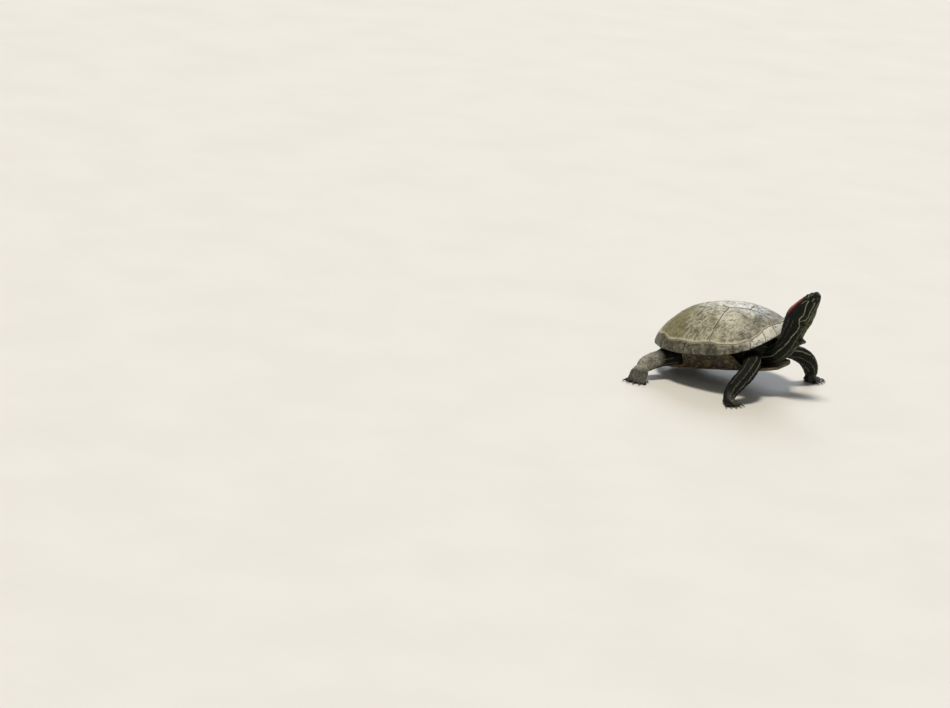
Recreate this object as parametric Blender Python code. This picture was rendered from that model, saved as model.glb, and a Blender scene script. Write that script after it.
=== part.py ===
"""A red-eared slider turtle, life size, standing on four feet with its neck stretched up.

Metres, +Z up, +X towards the head, +Y to the turtle's left. The soles stand on z = 0, and the
origin is under the middle of the whole animal. The shell is modelled level in its own frame, then
lifted and pitched. The flesh is modelled straight in the standing frame.
"""

import math

import bmesh
import bpy
from mathutils import Vector

# Shell, in its own frame: origin in the plane of the rim, under the dome's top
FRONT_REACH = 0.111  # from the origin to the nuchal edge
REAR_REACH = 0.118  # from the origin to the edge over the tail
HALF_WIDTH = 0.0925
DOME_HEIGHT = 0.0665
DOME_SHIFT = 0.008  # the top lies a little ahead of the origin
DOME_SHOULDER = 2.4  # higher: a flatter top
DOME_DROP = 0.79  # lower: a steeper side
RIM_SQUARENESS = 0.90
FRONT_RISE = 0.0250  # the rim arches up over the neck
REAR_RISE = 0.0075
RIM_THICK = 0.0040
SHELL_THICK = 0.0060
UNDERSIDE_SHARE = 0.88  # where the marginals' underside ends, as a share of the way out
MARGINALS = 12  # a side
VAULT_EDGE = 0.02  # how far outside the underside's end the vault's curve would meet the rim
VAULT_SHARES = (0.78, 0.64, 0.40, 0.0)  # the rings inside the dome
VAULT_FOOT = 0.86  # the ring where the vault meets the underside
DOME_RINGS = 8
RING_CROWDING = 1.4  # higher: more of the dome's rings near the rim
RIM_DRAFT = 0.994  # the rim's lower edge lies this share of the way out
NOTCH = 0.0016  # between the marginals over the tail
NOTCH_SHARPNESS = 0.6
NOTCH_START = 0.3  # how far behind the middle the notches begin
NOTCH_GROWTH = 1.4
KEEL = 0.0016
KEEL_WIDTH = 0.0060

# Plastron
PLASTRON_DROP = 0.0370  # its underside, below the rim's plane
PLASTRON_THICK = 0.0040
BRIDGE_REACH = 0.925  # the bridge meets the rim's underside at this share of the half width
PLASTRON_BEND = 0.80  # the share of a lobe that is flat
LOBE_LIFT = 0.0012  # how far a lobe's edges curl up
PLASTRON_ACROSS = 20

# Stance
SHELL_LIFT = 0.0650
SHELL_PITCH = math.radians(10)

# The trunk's rings below the vault: the share of the rim's reach at the sides and at the ends,
# and how far down each lies from the rim to the plastron
TRUNK_WALL = (
    (0.76, 0.84, 0.06),
    (0.66, 0.855, 0.35),
    (0.57, 0.80, 0.70),
    (0.47, 0.73, 0.94),
    (0.42, 0.67, 1.0),
    (0.21, 0.34, 1.0),
)
TRUNK_FIT = 0.0016  # between the trunk and the shell
TRUNK_TOP_GAP = 0.001  # between the wall's upper edge and the marginals

GAP = 0.0003  # between neighbouring solids
SOCKET_GAP = 0.0004
RINGS_PER_STEP = 2
# Points round a section
SHELL_AROUND = 48
TRUNK_AROUND = 28
NECK_AROUND = 16
HEAD_AROUND = 20
LIMB_AROUND = 12
FOLD_AROUND = 10
TAIL_AROUND = 10
TOE_AROUND = 8
CLAW_AROUND = 6
EYE_AROUND = 12
SIDEWAYS = Vector((0, 1, 0))
UPWARDS = Vector((-0.35, 0, 1))  # which way a section's rise points
SECTION_SQUARENESS = 0.9  # lower: a boxier section

SKIN_COLOUR = (0.020, 0.024, 0.014, 1)
SHELL_COLOUR = (0.145, 0.130, 0.075, 1)
PLASTRON_COLOUR = (0.42, 0.30, 0.09, 1)
CLAW_COLOUR = (0.018, 0.014, 0.010, 1)
EYE_COLOUR = (0.080, 0.100, 0.020, 1)


def clear_scene():
    for thing in list(bpy.data.objects):
        bpy.data.objects.remove(thing)


def material(name, colour, roughness):
    made = bpy.data.materials.new(name)
    made.use_nodes = True
    shader = made.node_tree.nodes["Principled BSDF"]
    shader.inputs["Base Color"].default_value = colour
    shader.inputs["Roughness"].default_value = roughness
    shader.inputs["Metallic"].default_value = 0.0
    return made


def mesh_object(name, points, faces, look, place=None):
    """A closed mesh with its faces turned outwards, as an object under the given placing empty."""
    mesh = bpy.data.meshes.new(name)
    mesh.from_pydata([tuple(p) for p in points], [], faces)
    shaped = bmesh.new()
    shaped.from_mesh(mesh)
    bmesh.ops.recalc_face_normals(shaped, faces=shaped.faces)
    shaped.to_mesh(mesh)
    shaped.free()
    mesh.shade_smooth()
    mesh.materials.append(look)
    thing = bpy.data.objects.new(name, mesh)
    bpy.context.scene.collection.objects.link(thing)
    thing.parent = place
    return thing


BOX_FACES = [(0, 1, 3, 2), (4, 5, 7, 6), (0, 1, 5, 4), (2, 3, 7, 6), (0, 2, 6, 4), (1, 3, 7, 5)]


def helper(thing):
    thing.hide_render = True
    thing.display_type = "WIRE"
    return thing


def boolean(thing, other, operation):
    step = thing.modifiers.new(other.name, "BOOLEAN")
    step.operation = operation
    step.solver = "EXACT"
    step.object = other


def power(value, exponent):
    return math.copysign(abs(value) ** exponent, value)


def smooth_step(value):
    value = min(max(value, 0.0), 1.0)
    return value * value * (3 - 2 * value)


# ---------------------------------------------------------------- closed meshes from rings


def ring_faces(rings, around, closed_ends=True):
    """Quads between rings of `around` points, numbered ring by ring, with a flat cap at each end."""
    faces = []
    for ring in range(rings - 1):
        for i in range(around):
            j = (i + 1) % around
            low, high = ring * around, (ring + 1) * around
            faces.append((low + i, low + j, high + j, high + i))
    if closed_ends:
        faces.append(tuple(range(around)))
        faces.append(tuple(range((rings - 1) * around, rings * around)))
    return faces


def through(values, step, of):
    """The value a share step/of between the middle two of four, on a smooth curve through them."""
    before, start, end, after = values
    t = step / of
    return 0.5 * (
        2 * start
        + (end - before) * t
        + (2 * before - 5 * start + 4 * end - after) * t * t
        + (3 * start - before - 3 * end + after) * t ** 3
    )


def refine(stations):
    """Stations on a smooth curve through the given ones: (centre, half width, rise, drop)."""
    count = len(stations)
    made = []
    for i in range(count - 1):
        four = [stations[min(max(i + k, 0), count - 1)] for k in (-1, 0, 1, 2)]
        for step in range(RINGS_PER_STEP):
            centre = through([s[0] for s in four], step, RINGS_PER_STEP)
            sizes = [through([s[n] for s in four], step, RINGS_PER_STEP) for n in (1, 2, 3)]
            made.append((centre, *sizes))
    made.append(stations[-1])
    return made


def station(x, y, z, wide, rise, drop=None):
    """A place on a limb in millimetres, with its section's half width and its reach up and down."""
    return (
        Vector((x, y, z)) / 1000,
        wide / 1000,
        rise / 1000,
        (rise if drop is None else drop) / 1000,
    )


def section(path, at, side_hint, around, grow=0.0, shift=0.0):
    """The ring of a swept body at path[at]. Its width lies along side_hint."""
    centre, wide, rise, drop = path[at]
    ahead = path[min(at + 1, len(path) - 1)][0] - path[max(at - 1, 0)][0]
    ahead.normalize()
    side = (side_hint - side_hint.dot(ahead) * ahead).normalized()
    up = ahead.cross(side)
    if up.dot(UPWARDS) < 0:
        up = -up
    points = []
    for i in range(around):
        angle = 2 * math.pi * i / around
        across = power(math.cos(angle), SECTION_SQUARENESS) * (wide + grow)
        height = power(math.sin(angle), SECTION_SQUARENESS)
        height *= (rise if height > 0 else drop) + grow
        points.append(centre + ahead * shift + side * across + up * height)
    return points


def sweep(name, path, look, side=SIDEWAYS, span=None, around=LIMB_AROUND, grow=0.0, start=0.0):
    """A closed body swept along span (first and last ring) of a path.

    Its first ring is moved along the path by start, and its sections are wider all round by grow.
    """
    first, last = span or (0, len(path) - 1)
    points = []
    for at in range(first, last + 1):
        shift = start if at == first else 0.0
        points += section(path, at, side, around, grow, shift)
    return mesh_object(name, points, ring_faces(last - first + 1, around), look)


# ---------------------------------------------------------------- the shell's surfaces


def rim_point(angle, notched=True):
    """A point of the rim. Angle 0 is over the neck and a quarter turn is the left side."""
    forward, left = math.cos(angle), math.sin(angle)
    reach = FRONT_REACH if forward > 0 else REAR_REACH
    point = Vector((reach * power(forward, RIM_SQUARENESS), HALF_WIDTH * power(left, RIM_SQUARENESS), 0))
    if notched and forward < -NOTCH_START:
        seam = abs(math.sin(MARGINALS * angle)) ** NOTCH_SHARPNESS
        point *= 1 - NOTCH * (1 - seam) * min(-forward * NOTCH_GROWTH, 1) / point.length
    point.z = FRONT_RISE * max(forward, 0) ** 3 + REAR_RISE * max(-forward, 0) ** 2
    return point


def dome_point(angle, share):
    """A point of the dome's outer face, from its top (share 0) out to the rim (share 1)."""
    rim = rim_point(angle)
    x = rim.x * share + DOME_SHIFT * (1 - share)
    y = rim.y * share
    z = rim.z * share ** 3 + DOME_HEIGHT * (1 - share ** DOME_SHOULDER) ** DOME_DROP
    keel = KEEL * math.exp(-((y / KEEL_WIDTH) ** 2)) * (1 - share ** 4)
    return Vector((x, y, z + keel))


def vault_point(angle, share, lower=0.0):
    """A point of the dome's inner face."""
    rim = rim_point(angle, notched=False)
    edge = UNDERSIDE_SHARE + VAULT_EDGE
    fall = (1 - min(share / edge, 1) ** DOME_SHOULDER) ** DOME_DROP
    z = rim.z * share ** 2 + (DOME_HEIGHT - SHELL_THICK) * fall - lower
    return Vector((rim.x * share + DOME_SHIFT * (1 - share), rim.y * share, z))


def shell_placing():
    """The empty that lifts and pitches the shell."""
    place = bpy.data.objects.new("shell_placing", None)
    bpy.context.scene.collection.objects.link(place)
    place.location.z = SHELL_LIFT
    place.rotation_euler.y = -SHELL_PITCH
    return place


def polar_body(name, profile, around, look, place):
    """A body whose rings run from a pole to a pole; profile(angle, step) gives a point or None."""
    points = [profile[0](0.0)]
    rings = profile[1:-1]
    for ring in rings:
        points += [ring(2 * math.pi * i / around) for i in range(around)]
    points.append(profile[-1](0.0))
    faces = [tuple(v + 1 for v in face) for face in ring_faces(len(rings), around, closed_ends=False)]
    last = len(points) - 1
    for i in range(around):
        j = (i + 1) % around
        faces.append((0, 1 + i, 1 + j))
        faces.append((last, last - around + j, last - around + i))
    return mesh_object(name, points, faces, look, place)


def build_carapace(look, place):
    outer = [1 - (1 - k / DOME_RINGS) ** RING_CROWDING for k in range(DOME_RINGS + 1)]
    profile = [lambda angle, s=s: dome_point(angle, s) for s in outer]
    edge = Vector((0, 0, -RIM_THICK))
    profile.append(lambda angle: rim_point(angle) * RIM_DRAFT + edge)
    profile.append(lambda angle: underside_point(angle, UNDERSIDE_SHARE))
    inner = [VAULT_FOOT, *VAULT_SHARES]
    profile += [lambda angle, s=s: vault_point(angle, s) for s in inner]
    return polar_body("carapace", profile, SHELL_AROUND, look, place)


def underside_point(angle, share):
    """A point of the marginals' underside."""
    rim = rim_point(angle, notched=False)
    return Vector((rim.x * share, rim.y * share, rim.z - RIM_THICK))


def half_width_at(x):
    """The rim's half width at a place along the shell."""
    reach = FRONT_REACH if x > 0 else REAR_REACH
    forward = min(abs(x) / reach, 1) ** (1 / RIM_SQUARENESS)
    return HALF_WIDTH * math.sqrt(1 - forward ** 2) ** RIM_SQUARENESS


def rim_height_at(x):
    reach = FRONT_REACH if x > 0 else REAR_REACH
    forward = min(abs(x) / reach, 1) ** (1 / RIM_SQUARENESS)
    return FRONT_RISE * forward ** 3 if x > 0 else REAR_RISE * forward ** 2


# The plastron's outline: place along the shell, half width of the lobe, share of the bridge
PLASTRON_OUTLINE = (
    (0.1055, 0.0180, 0.0),
    (0.1035, 0.0270, 0.0),
    (0.0970, 0.0360, 0.0),
    (0.0840, 0.0430, 0.0),
    (0.0680, 0.0480, 0.0),
    (0.0560, 0.0500, 0.10),
    (0.0480, 0.0510, 0.80),
    (0.0380, 0.0520, 1.0),
    (0.0120, 0.0530, 1.0),
    (-0.0150, 0.0530, 1.0),
    (-0.0330, 0.0520, 0.98),
    (-0.0420, 0.0510, 0.75),
    (-0.0500, 0.0500, 0.10),
    (-0.0620, 0.0510, 0.0),
    (-0.0780, 0.0490, 0.0),
    (-0.0910, 0.0430, 0.0),
    (-0.1000, 0.0340, 0.0),
    (-0.1060, 0.0220, 0.0),
)


def plastron_line(x, lobe, bridge):
    """The plastron's underside across the body at x, and its upper side, from right to left."""
    top = rim_height_at(x) - RIM_THICK - GAP * 2
    reach = lobe + bridge * (half_width_at(x) * BRIDGE_REACH - lobe)
    bend = PLASTRON_BEND * lobe
    under = []
    for i in range(PLASTRON_ACROSS + 1):
        y = reach * (2 * i / PLASTRON_ACROSS - 1)
        climb = smooth_step((abs(y) - bend) / (reach - bend)) if abs(y) > bend else 0.0
        climb = 0.5 * climb + 0.5 * climb ** 2
        rise = bridge * (top + PLASTRON_DROP) + (1 - bridge) * LOBE_LIFT
        under.append(Vector((x, y, -PLASTRON_DROP + rise * climb)))
    upper = []
    for i, point in enumerate(under):
        slope = under[min(i + 1, PLASTRON_ACROSS)] - under[max(i - 1, 0)]
        lean = Vector((0, -slope.z, slope.y)).normalized()
        raised = point + lean * PLASTRON_THICK
        raised.z = min(raised.z, top)
        upper.append(raised)
    return under, upper


def build_plastron(look, place):
    points = []
    for x, lobe, bridge in PLASTRON_OUTLINE:
        under, upper = plastron_line(x, lobe, bridge)
        points += under + upper[::-1]
    around = 2 * (PLASTRON_ACROSS + 1)
    return mesh_object("plastron", points, ring_faces(len(PLASTRON_OUTLINE), around), look, place)


# ---------------------------------------------------------------- flesh inside the shell


def build_trunk(look, place):
    floor = -PLASTRON_DROP + PLASTRON_THICK + TRUNK_FIT

    def wall(angle, side_share, end_share, height):
        share = side_share + (end_share - side_share) * math.cos(angle) ** 2
        rim = rim_point(angle, notched=False)
        low = rim.z - RIM_THICK - TRUNK_TOP_GAP
        return Vector((rim.x * share, rim.y * share, low + (floor - low) * height))

    shares = VAULT_SHARES[::-1]
    profile = [lambda angle, s=s: vault_point(angle, s, TRUNK_FIT) for s in shares]
    for side_share, end_share, height in TRUNK_WALL:
        profile.append(lambda angle, a=side_share, b=end_share, h=height: wall(angle, a, b, h))
    profile.append(lambda angle: Vector((0, 0, floor)))
    return polar_body("trunk", profile, TRUNK_AROUND, look, place)


# ---------------------------------------------------------------- neck, head and tail

# Stations are (x, y, z, half width, rise, drop) in millimetres
NECK = [
    station(66, -3, 64, 20, 18, 18),
    station(84, -6, 68, 23, 23, 19),
    station(101, -9, 76, 23.5, 17.5, 18.5),
    station(115, -12, 90, 21.5, 14.6, 17.5),
    station(124, -14, 107, 19, 20, 16.5),
    station(129, -15, 124, 18.5, 22, 19),
    station(133, -15, 137, 18.5, 23, 22),
]
# The head's stations lie in its own frame: the way to the snout, the height over its axis, then
# the same three sizes
HEAD_CENTRE = Vector((133.5, -15, 137)) / 1000
HEAD_PITCH = math.radians(48)
HEAD = [
    (10, 4.0, 18.0, 21.0, 21.0),
    (20, 7.0, 16.5, 17.5, 20.5),
    (29, 9.0, 14.0, 14.5, 17.5),
    (37, 10.0, 11.8, 12.2, 15.0),
    (44, 11.0, 9.3, 8.3, 12.3),
    (50, 12.0, 7.0, 6.0, 9.3),
    (54, 12.8, 4.2, 3.4, 5.8),
]
HEAD_CUT = 6  # the neck ends at this station
EYE_RADIUS = 0.0046
EYE_PLACE = (39.5, 15.5, 7.4)  # ahead, up and aside, in the head's frame
MOUTH_HEIGHT = 7.2
MOUTH_CORNER = 27.0
CLEAR = 70  # mm, far enough to be outside the head
CHIN_FOLD = [
    station(122, -14, 98, 9, 12, 12),
    station(134, -14, 100, 8, 10, 10),
    station(142, -14, 100.5, 5, 5.5, 6),
    station(149, -14, 100.5, 1.8, 1.6, 1.6),
]
TAIL = [
    station(-84, 1, 40, 11, 9),
    station(-98, 2, 34, 9, 7.5),
    station(-112, 4, 25, 7, 6),
    station(-126, 8, 15, 5, 4.2),
    station(-138, 13, 8, 3.4, 2.8),
    station(-149, 19, 4.0, 1.6, 1.4),
]


def head_point(ahead, up, aside=0.0):
    """A point in the head's frame, given in millimetres."""
    along = Vector((math.cos(HEAD_PITCH), 0, math.sin(HEAD_PITCH)))
    over = Vector((-math.sin(HEAD_PITCH), 0, math.cos(HEAD_PITCH)))
    return HEAD_CENTRE + (along * ahead + over * up + SIDEWAYS * aside) / 1000


def head_path():
    stations = list(NECK)
    for ahead, up, wide, rise, drop in HEAD:
        place = head_point(ahead, up) * 1000
        stations.append(station(*place, wide, rise, drop))
    return refine(stations)


def ball(name, centre, radius, look):
    shaped = bmesh.new()
    bmesh.ops.create_uvsphere(shaped, u_segments=EYE_AROUND, v_segments=EYE_AROUND // 2, radius=radius)
    bmesh.ops.translate(shaped, vec=centre, verts=shaped.verts)
    mesh = bpy.data.meshes.new(name)
    shaped.to_mesh(mesh)
    shaped.free()
    mesh.shade_smooth()
    mesh.materials.append(look)
    thing = bpy.data.objects.new(name, mesh)
    bpy.context.scene.collection.objects.link(thing)
    return thing


def head_box(name, low, high, look):
    """A block in the head's frame, from its low to its high corner, in millimetres."""
    points = []
    for ahead in (low[0], high[0]):
        for aside in (low[2], high[2]):
            for up in (low[1], high[1]):
                points.append(head_point(ahead, up, aside))
    return mesh_object(name, points, BOX_FACES, look)


def build_neck_and_head(skin, eye_look):
    path = head_path()
    cut = HEAD_CUT * RINGS_PER_STEP
    neck = sweep("neck", path, skin, span=(0, cut), around=NECK_AROUND)
    fold = sweep("chin_fold_helper", CHIN_FOLD, skin, around=FOLD_AROUND)
    boolean(neck, helper(fold), "UNION")
    ahead_of_cut = (cut, len(path) - 1)
    head = sweep("head", path, skin, span=ahead_of_cut, around=HEAD_AROUND, start=GAP)
    jaw = sweep("lower_jaw", path, skin, span=ahead_of_cut, around=HEAD_AROUND, start=GAP)
    gap = GAP * 1000
    jaw_block = head_box(
        "jaw_block", (MOUTH_CORNER, -CLEAR, -CLEAR), (CLEAR, MOUTH_HEIGHT, CLEAR), skin
    )
    wide = CLEAR + 1
    mouth = head_box(
        "mouth_block", (MOUTH_CORNER - gap, -wide, -wide), (wide, MOUTH_HEIGHT + gap, wide), skin
    )
    boolean(jaw, helper(jaw_block), "INTERSECT")
    boolean(head, helper(mouth), "DIFFERENCE")
    for name, hand in (("left", 1), ("right", -1)):
        ahead, up, aside = EYE_PLACE
        centre = head_point(ahead, up, hand * aside)
        socket = ball("eye_socket_" + name, centre, EYE_RADIUS + GAP, skin)
        boolean(head, helper(socket), "DIFFERENCE")
        ball("eye_" + name, centre, EYE_RADIUS, eye_look)
    return path


# ---------------------------------------------------------------- legs and feet

LEGS = {
    "foreleg_right": dict(
        side=Vector((1, 0, 0.2)),
        stations=[
            station(66, -38, 62, 15, 14),
            station(76, -52, 60, 15, 14),
            station(83, -68, 56, 14.5, 13.5),
            station(84, -84, 47, 14.5, 12.5),
            station(79, -98, 35, 14, 11.5),
            station(74, -107, 24, 12.5, 10),
            station(71, -112, 14, 11, 8),
            station(71, -114, 7, 9, 7),
        ],
        elbow=3,
        ankle=6,
    ),
    "foreleg_left": dict(
        side=Vector((1, 0, 0.2)),
        stations=[
            station(70, 38, 60, 15, 14, 9),
            station(84, 50, 58, 15, 14, 9.5),
            station(98, 64, 55, 14.5, 13.5, 12),
            station(108, 80, 46, 14.5, 13),
            station(111, 93, 34, 14, 12),
            station(111, 102, 23, 12.5, 10.5),
            station(110, 107, 14, 11, 8),
            station(110, 109, 7, 9, 7),
        ],
        elbow=3,
        ankle=6,
    ),
    "hindleg_right": dict(
        side=Vector((0.6, 0.2, 1)),
        stations=[
            station(-52, -34, 39, 15, 15),
            station(-63, -49, 38, 14.5, 15),
            station(-74, -63, 35, 14, 14.5),
            station(-83, -75, 31.5, 13.5, 14),
            station(-90, -87, 27.5, 13, 13.5),
            station(-95, -95, 23, 12, 12.5),
            station(-98, -100, 17.5, 9, 9.5),
        ],
        elbow=3,
        ankle=5,
    ),
    "hindleg_left": dict(
        side=Vector((0.6, -0.2, 1)),
        stations=[
            station(-50, 34, 39, 15, 15, 13),
            station(-62, 50, 36.4, 14, 14.5, 12),
            station(-73, 65, 33, 13, 13.5),
            station(-83, 77, 29, 12, 12.5),
            station(-92, 88, 24, 11.5, 11.5),
            station(-98, 97, 18, 10, 10.5),
            station(-102, 103, 12, 8, 9),
        ],
        elbow=3,
        ankle=5,
    ),
}

# Feet: the middle of the palm on the floor (mm), the way it points (degrees from +X towards +Y),
# its length, half width and thickness (mm), the heel's height (mm), the toes' spread (degrees)
# and reach (mm), and the claws' length (mm) and number
FEET = {
    "foreleg_right": dict(
        palm=(74, -116), points=-32, length=23, wide=11.5, high=11, heel=0,
        spread=60, reach=8, claw=7.5, claws=5,
    ),
    "foreleg_left": dict(
        palm=(110, 108), points=12, length=22, wide=11.5, high=11, heel=0,
        spread=60, reach=8, claw=7.5, claws=5,
    ),
    "hindleg_right": dict(
        palm=(-92.5, -115.5), points=-85, length=24, wide=16, high=10, heel=21,
        spread=62, reach=8.5, claw=5.5, claws=4,
    ),
    "hindleg_left": dict(
        palm=(-106, 112), points=122, length=26, wide=14, high=10, heel=13,
        spread=66, reach=12, claw=6.5, claws=4,
    ),
}
# A palm's sections from heel to toes: the place along it, the width and the thickness, as shares
PALM_PROFILE = (
    (-0.5, 0.35, 0.45),
    (-0.36, 0.75, 0.80),
    (0.0, 1.0, 1.0),
    (0.32, 1.0, 0.62),
    (0.5, 0.72, 0.36),
)
BELOW_FLOOR = 0.001  # how far the palm and toes reach into the floor before they are cut flat
TOES = 5
TOE_RADIUS = 0.0037
TOE_HEIGHT = 0.0042
TOE_TIP_HEIGHT = 0.0030
OUTER_TOE_SHARE = 0.78  # the outer toes' reach, as a share of the middle one's
# A claw's sections from root to point: the place along it and the radius, as shares
CLAW_PROFILE = ((0.0, 1.0), (0.35, 0.86), (0.72, 0.55), (1.0, 0.16))
CLAW_RADIUS = 0.0017
CLAW_ARCH = 0.0006
CLAW_DROOP = 0.0021
CLAW_GAP = 0.0008
FLOOR_BLOCK = 0.08  # half the width of the block that cuts a sole flat
ROOT_STATIONS = 3  # as much of a limb's path as may lie inside the trunk


def build_leg(name, plan, look):
    """The upper and lower leg and the ankle's stub: one swept body parted by thin cuts."""
    path = refine(plan["stations"])
    elbow, ankle = plan["elbow"] * RINGS_PER_STEP, plan["ankle"] * RINGS_PER_STEP
    sweep(name + "_upper", path, look, plan["side"], (0, elbow))
    sweep(name + "_lower", path, look, plan["side"], (elbow, ankle), start=GAP)
    foot_name = name.replace("leg", "foot")
    foot = sweep(foot_name, path, look, plan["side"], (ankle, len(path) - 1), start=GAP)
    return path, foot


def heading(degrees):
    return Vector((math.cos(math.radians(degrees)), math.sin(math.radians(degrees)), 0))


def build_foot(name, foot, plan, skin, claw_look):
    """Adds the palm and toes to the ankle's stub, cuts the sole flat at the floor, adds the claws."""
    middle = Vector((*plan["palm"], 0)) / 1000
    ahead = heading(plan["points"])
    aside = Vector((-ahead.y, ahead.x, 0))
    length, wide, high, heel = (plan[key] / 1000 for key in ("length", "wide", "high", "heel"))
    palm = []
    for along, broad, tall in PALM_PROFILE:
        half_high = high * tall / 2
        lift = half_high + heel * (0.5 - along)
        centre = middle + ahead * length * along + Vector((0, 0, lift))
        palm.append((centre, wide * broad, half_high, half_high + BELOW_FLOOR))
    body = sweep(name + "_palm", palm, skin, aside)
    boolean(foot, helper(body), "UNION")
    for toe in range(TOES):
        share = toe / (TOES - 1) * 2 - 1
        way = heading(plan["points"] + share * plan["spread"] / 2)
        reach = plan["reach"] / 1000 * (1 - (1 - OUTER_TOE_SHARE) * share ** 2)
        root = middle + ahead * length * (0.24 - 0.05 * share ** 2) + aside * share * wide * 0.70
        root.z = TOE_HEIGHT + heel * 0.28
        knuckle = root + way * length * 0.2
        knuckle.z = TOE_HEIGHT - heel * 0.05
        tip = knuckle + way * reach
        tip.z = TOE_TIP_HEIGHT
        radius = TOE_RADIUS
        toe_path = [
            (root, radius, radius, radius + BELOW_FLOOR),
            (knuckle, radius, radius, radius + BELOW_FLOOR),
            (knuckle.lerp(tip, 0.7), radius * 0.86, radius * 0.86, radius * 0.9),
            (tip, radius * 0.62, radius * 0.62, radius * 0.66),
        ]
        body = sweep(f"{name}_toe_{toe}", toe_path, skin, aside, around=TOE_AROUND)
        boolean(foot, helper(body), "UNION")
        if toe < plan["claws"]:
            build_claw(f"{name}_claw_{toe + 1}", tip, way, plan["claw"] / 1000, claw_look)
    floor = mesh_object(
        name + "_floor",
        [
            middle + Vector((x, y, z))
            for x in (-FLOOR_BLOCK, FLOOR_BLOCK)
            for y in (-FLOOR_BLOCK, FLOOR_BLOCK)
            for z in (-FLOOR_BLOCK, 0)
        ],
        BOX_FACES,
        skin,
    )
    boolean(foot, helper(floor), "DIFFERENCE")


def build_claw(name, tip, way, length, look):
    start = tip + way * CLAW_GAP
    path = []
    for share, size in CLAW_PROFILE:
        place = start + way * length * share
        place.z = tip.z + CLAW_ARCH * math.sin(math.pi * share) - CLAW_DROOP * share ** 2
        radius = CLAW_RADIUS * size
        path.append((place, radius, radius, radius))
    aside = Vector((-way.y, way.x, 0))
    sweep(name, path, look, aside, around=CLAW_AROUND)


def centre_over_origin():
    """Moves the whole animal so that the middle of its box is over the origin."""
    bpy.context.view_layer.update()
    graph = bpy.context.evaluated_depsgraph_get()
    corners = []
    for thing in bpy.data.objects:
        if thing.type == "MESH" and not thing.hide_render:
            shown = thing.evaluated_get(graph)
            corners += [shown.matrix_world @ Vector(corner) for corner in shown.bound_box]
    middle = [(min(c[k] for c in corners) + max(c[k] for c in corners)) / 2 for k in (0, 1)]
    for thing in bpy.data.objects:
        if thing.parent is None:
            thing.location -= Vector((*middle, 0))


def main():
    clear_scene()
    skin = material("skin", SKIN_COLOUR, 0.6)
    shell = material("shell", SHELL_COLOUR, 0.55)
    belly = material("plastron", PLASTRON_COLOUR, 0.5)
    claw_look = material("claw", CLAW_COLOUR, 0.35)
    eye_look = material("eye", EYE_COLOUR, 0.08)
    place = shell_placing()
    build_carapace(shell, place)
    build_plastron(belly, place)
    trunk = build_trunk(skin, place)
    roots = [("neck", build_neck_and_head(skin, eye_look), SIDEWAYS, NECK_AROUND)]
    for name, plan in LEGS.items():
        path, foot = build_leg(name, plan, skin)
        build_foot(name.replace("leg", "foot"), foot, FEET[name], skin, claw_look)
        roots.append((name, path, plan["side"], LIMB_AROUND))
    tail_path = refine(TAIL)
    sweep("tail", tail_path, skin, around=TAIL_AROUND)
    roots.append(("tail", tail_path, SIDEWAYS, TAIL_AROUND))
    for name, path, side, around in roots:
        span = (0, ROOT_STATIONS * RINGS_PER_STEP)
        cutter = sweep(name + "_socket", path, skin, side, span, around, SOCKET_GAP, -SOCKET_GAP)
        boolean(trunk, helper(cutter), "DIFFERENCE")
    centre_over_origin()


main()
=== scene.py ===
"""A standing red-eared slider turtle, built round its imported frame.

The flesh is one skin over the frame's solids. The shell is plates of horn over bone. Lengths are in
metres unless a name or comment says millimetres.
"""

import math

import bmesh
import bpy
import numpy as np
from bpy.props import FloatProperty, FloatVectorProperty, IntProperty, PointerProperty
from bpy.types import Operator, Panel, PropertyGroup
from mathutils import Matrix, Vector


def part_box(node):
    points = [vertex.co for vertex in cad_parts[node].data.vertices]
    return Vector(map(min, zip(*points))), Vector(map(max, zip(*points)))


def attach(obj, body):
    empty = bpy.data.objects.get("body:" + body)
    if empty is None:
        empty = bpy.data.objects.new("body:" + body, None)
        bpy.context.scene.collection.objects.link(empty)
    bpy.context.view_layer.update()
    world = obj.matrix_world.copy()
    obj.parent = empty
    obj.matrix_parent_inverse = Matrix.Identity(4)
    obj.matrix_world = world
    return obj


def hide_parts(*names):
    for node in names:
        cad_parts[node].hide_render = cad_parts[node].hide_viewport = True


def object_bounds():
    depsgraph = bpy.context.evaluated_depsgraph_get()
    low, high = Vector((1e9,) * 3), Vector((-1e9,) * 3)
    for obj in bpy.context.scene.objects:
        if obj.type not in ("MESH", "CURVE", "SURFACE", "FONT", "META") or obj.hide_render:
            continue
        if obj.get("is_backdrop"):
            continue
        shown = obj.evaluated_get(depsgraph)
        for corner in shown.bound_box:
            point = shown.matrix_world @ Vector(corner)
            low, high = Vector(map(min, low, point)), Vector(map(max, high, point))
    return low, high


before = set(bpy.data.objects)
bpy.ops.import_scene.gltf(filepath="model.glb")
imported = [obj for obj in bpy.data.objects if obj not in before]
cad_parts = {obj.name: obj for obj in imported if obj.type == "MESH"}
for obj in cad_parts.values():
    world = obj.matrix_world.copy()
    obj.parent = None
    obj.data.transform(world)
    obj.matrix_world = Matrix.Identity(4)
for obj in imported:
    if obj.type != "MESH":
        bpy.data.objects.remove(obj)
CAD_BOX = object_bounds()

bl_info = {
    "name": "Red-eared slider",
    "version": (1, 0, 0),
    "blender": (4, 5, 0),
    "location": "View3D > Sidebar > Turtle",
    "description": "Builds a standing red-eared slider turtle round its packed frame",
    "category": "Object",
}

MM = 0.001
EYES = {"left": 1, "right": -1}  # and the way aside that each looks
FEET = ("forefoot_left", "forefoot_right", "hindfoot_left", "hindfoot_right")
FLESH = ["trunk", "neck", "head", "lower_jaw", "tail", *FEET]
FLESH += [f"{leg}_{side}_{part}" for leg in ("foreleg", "hindleg") for side in EYES for part in ("upper", "lower")]

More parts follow.
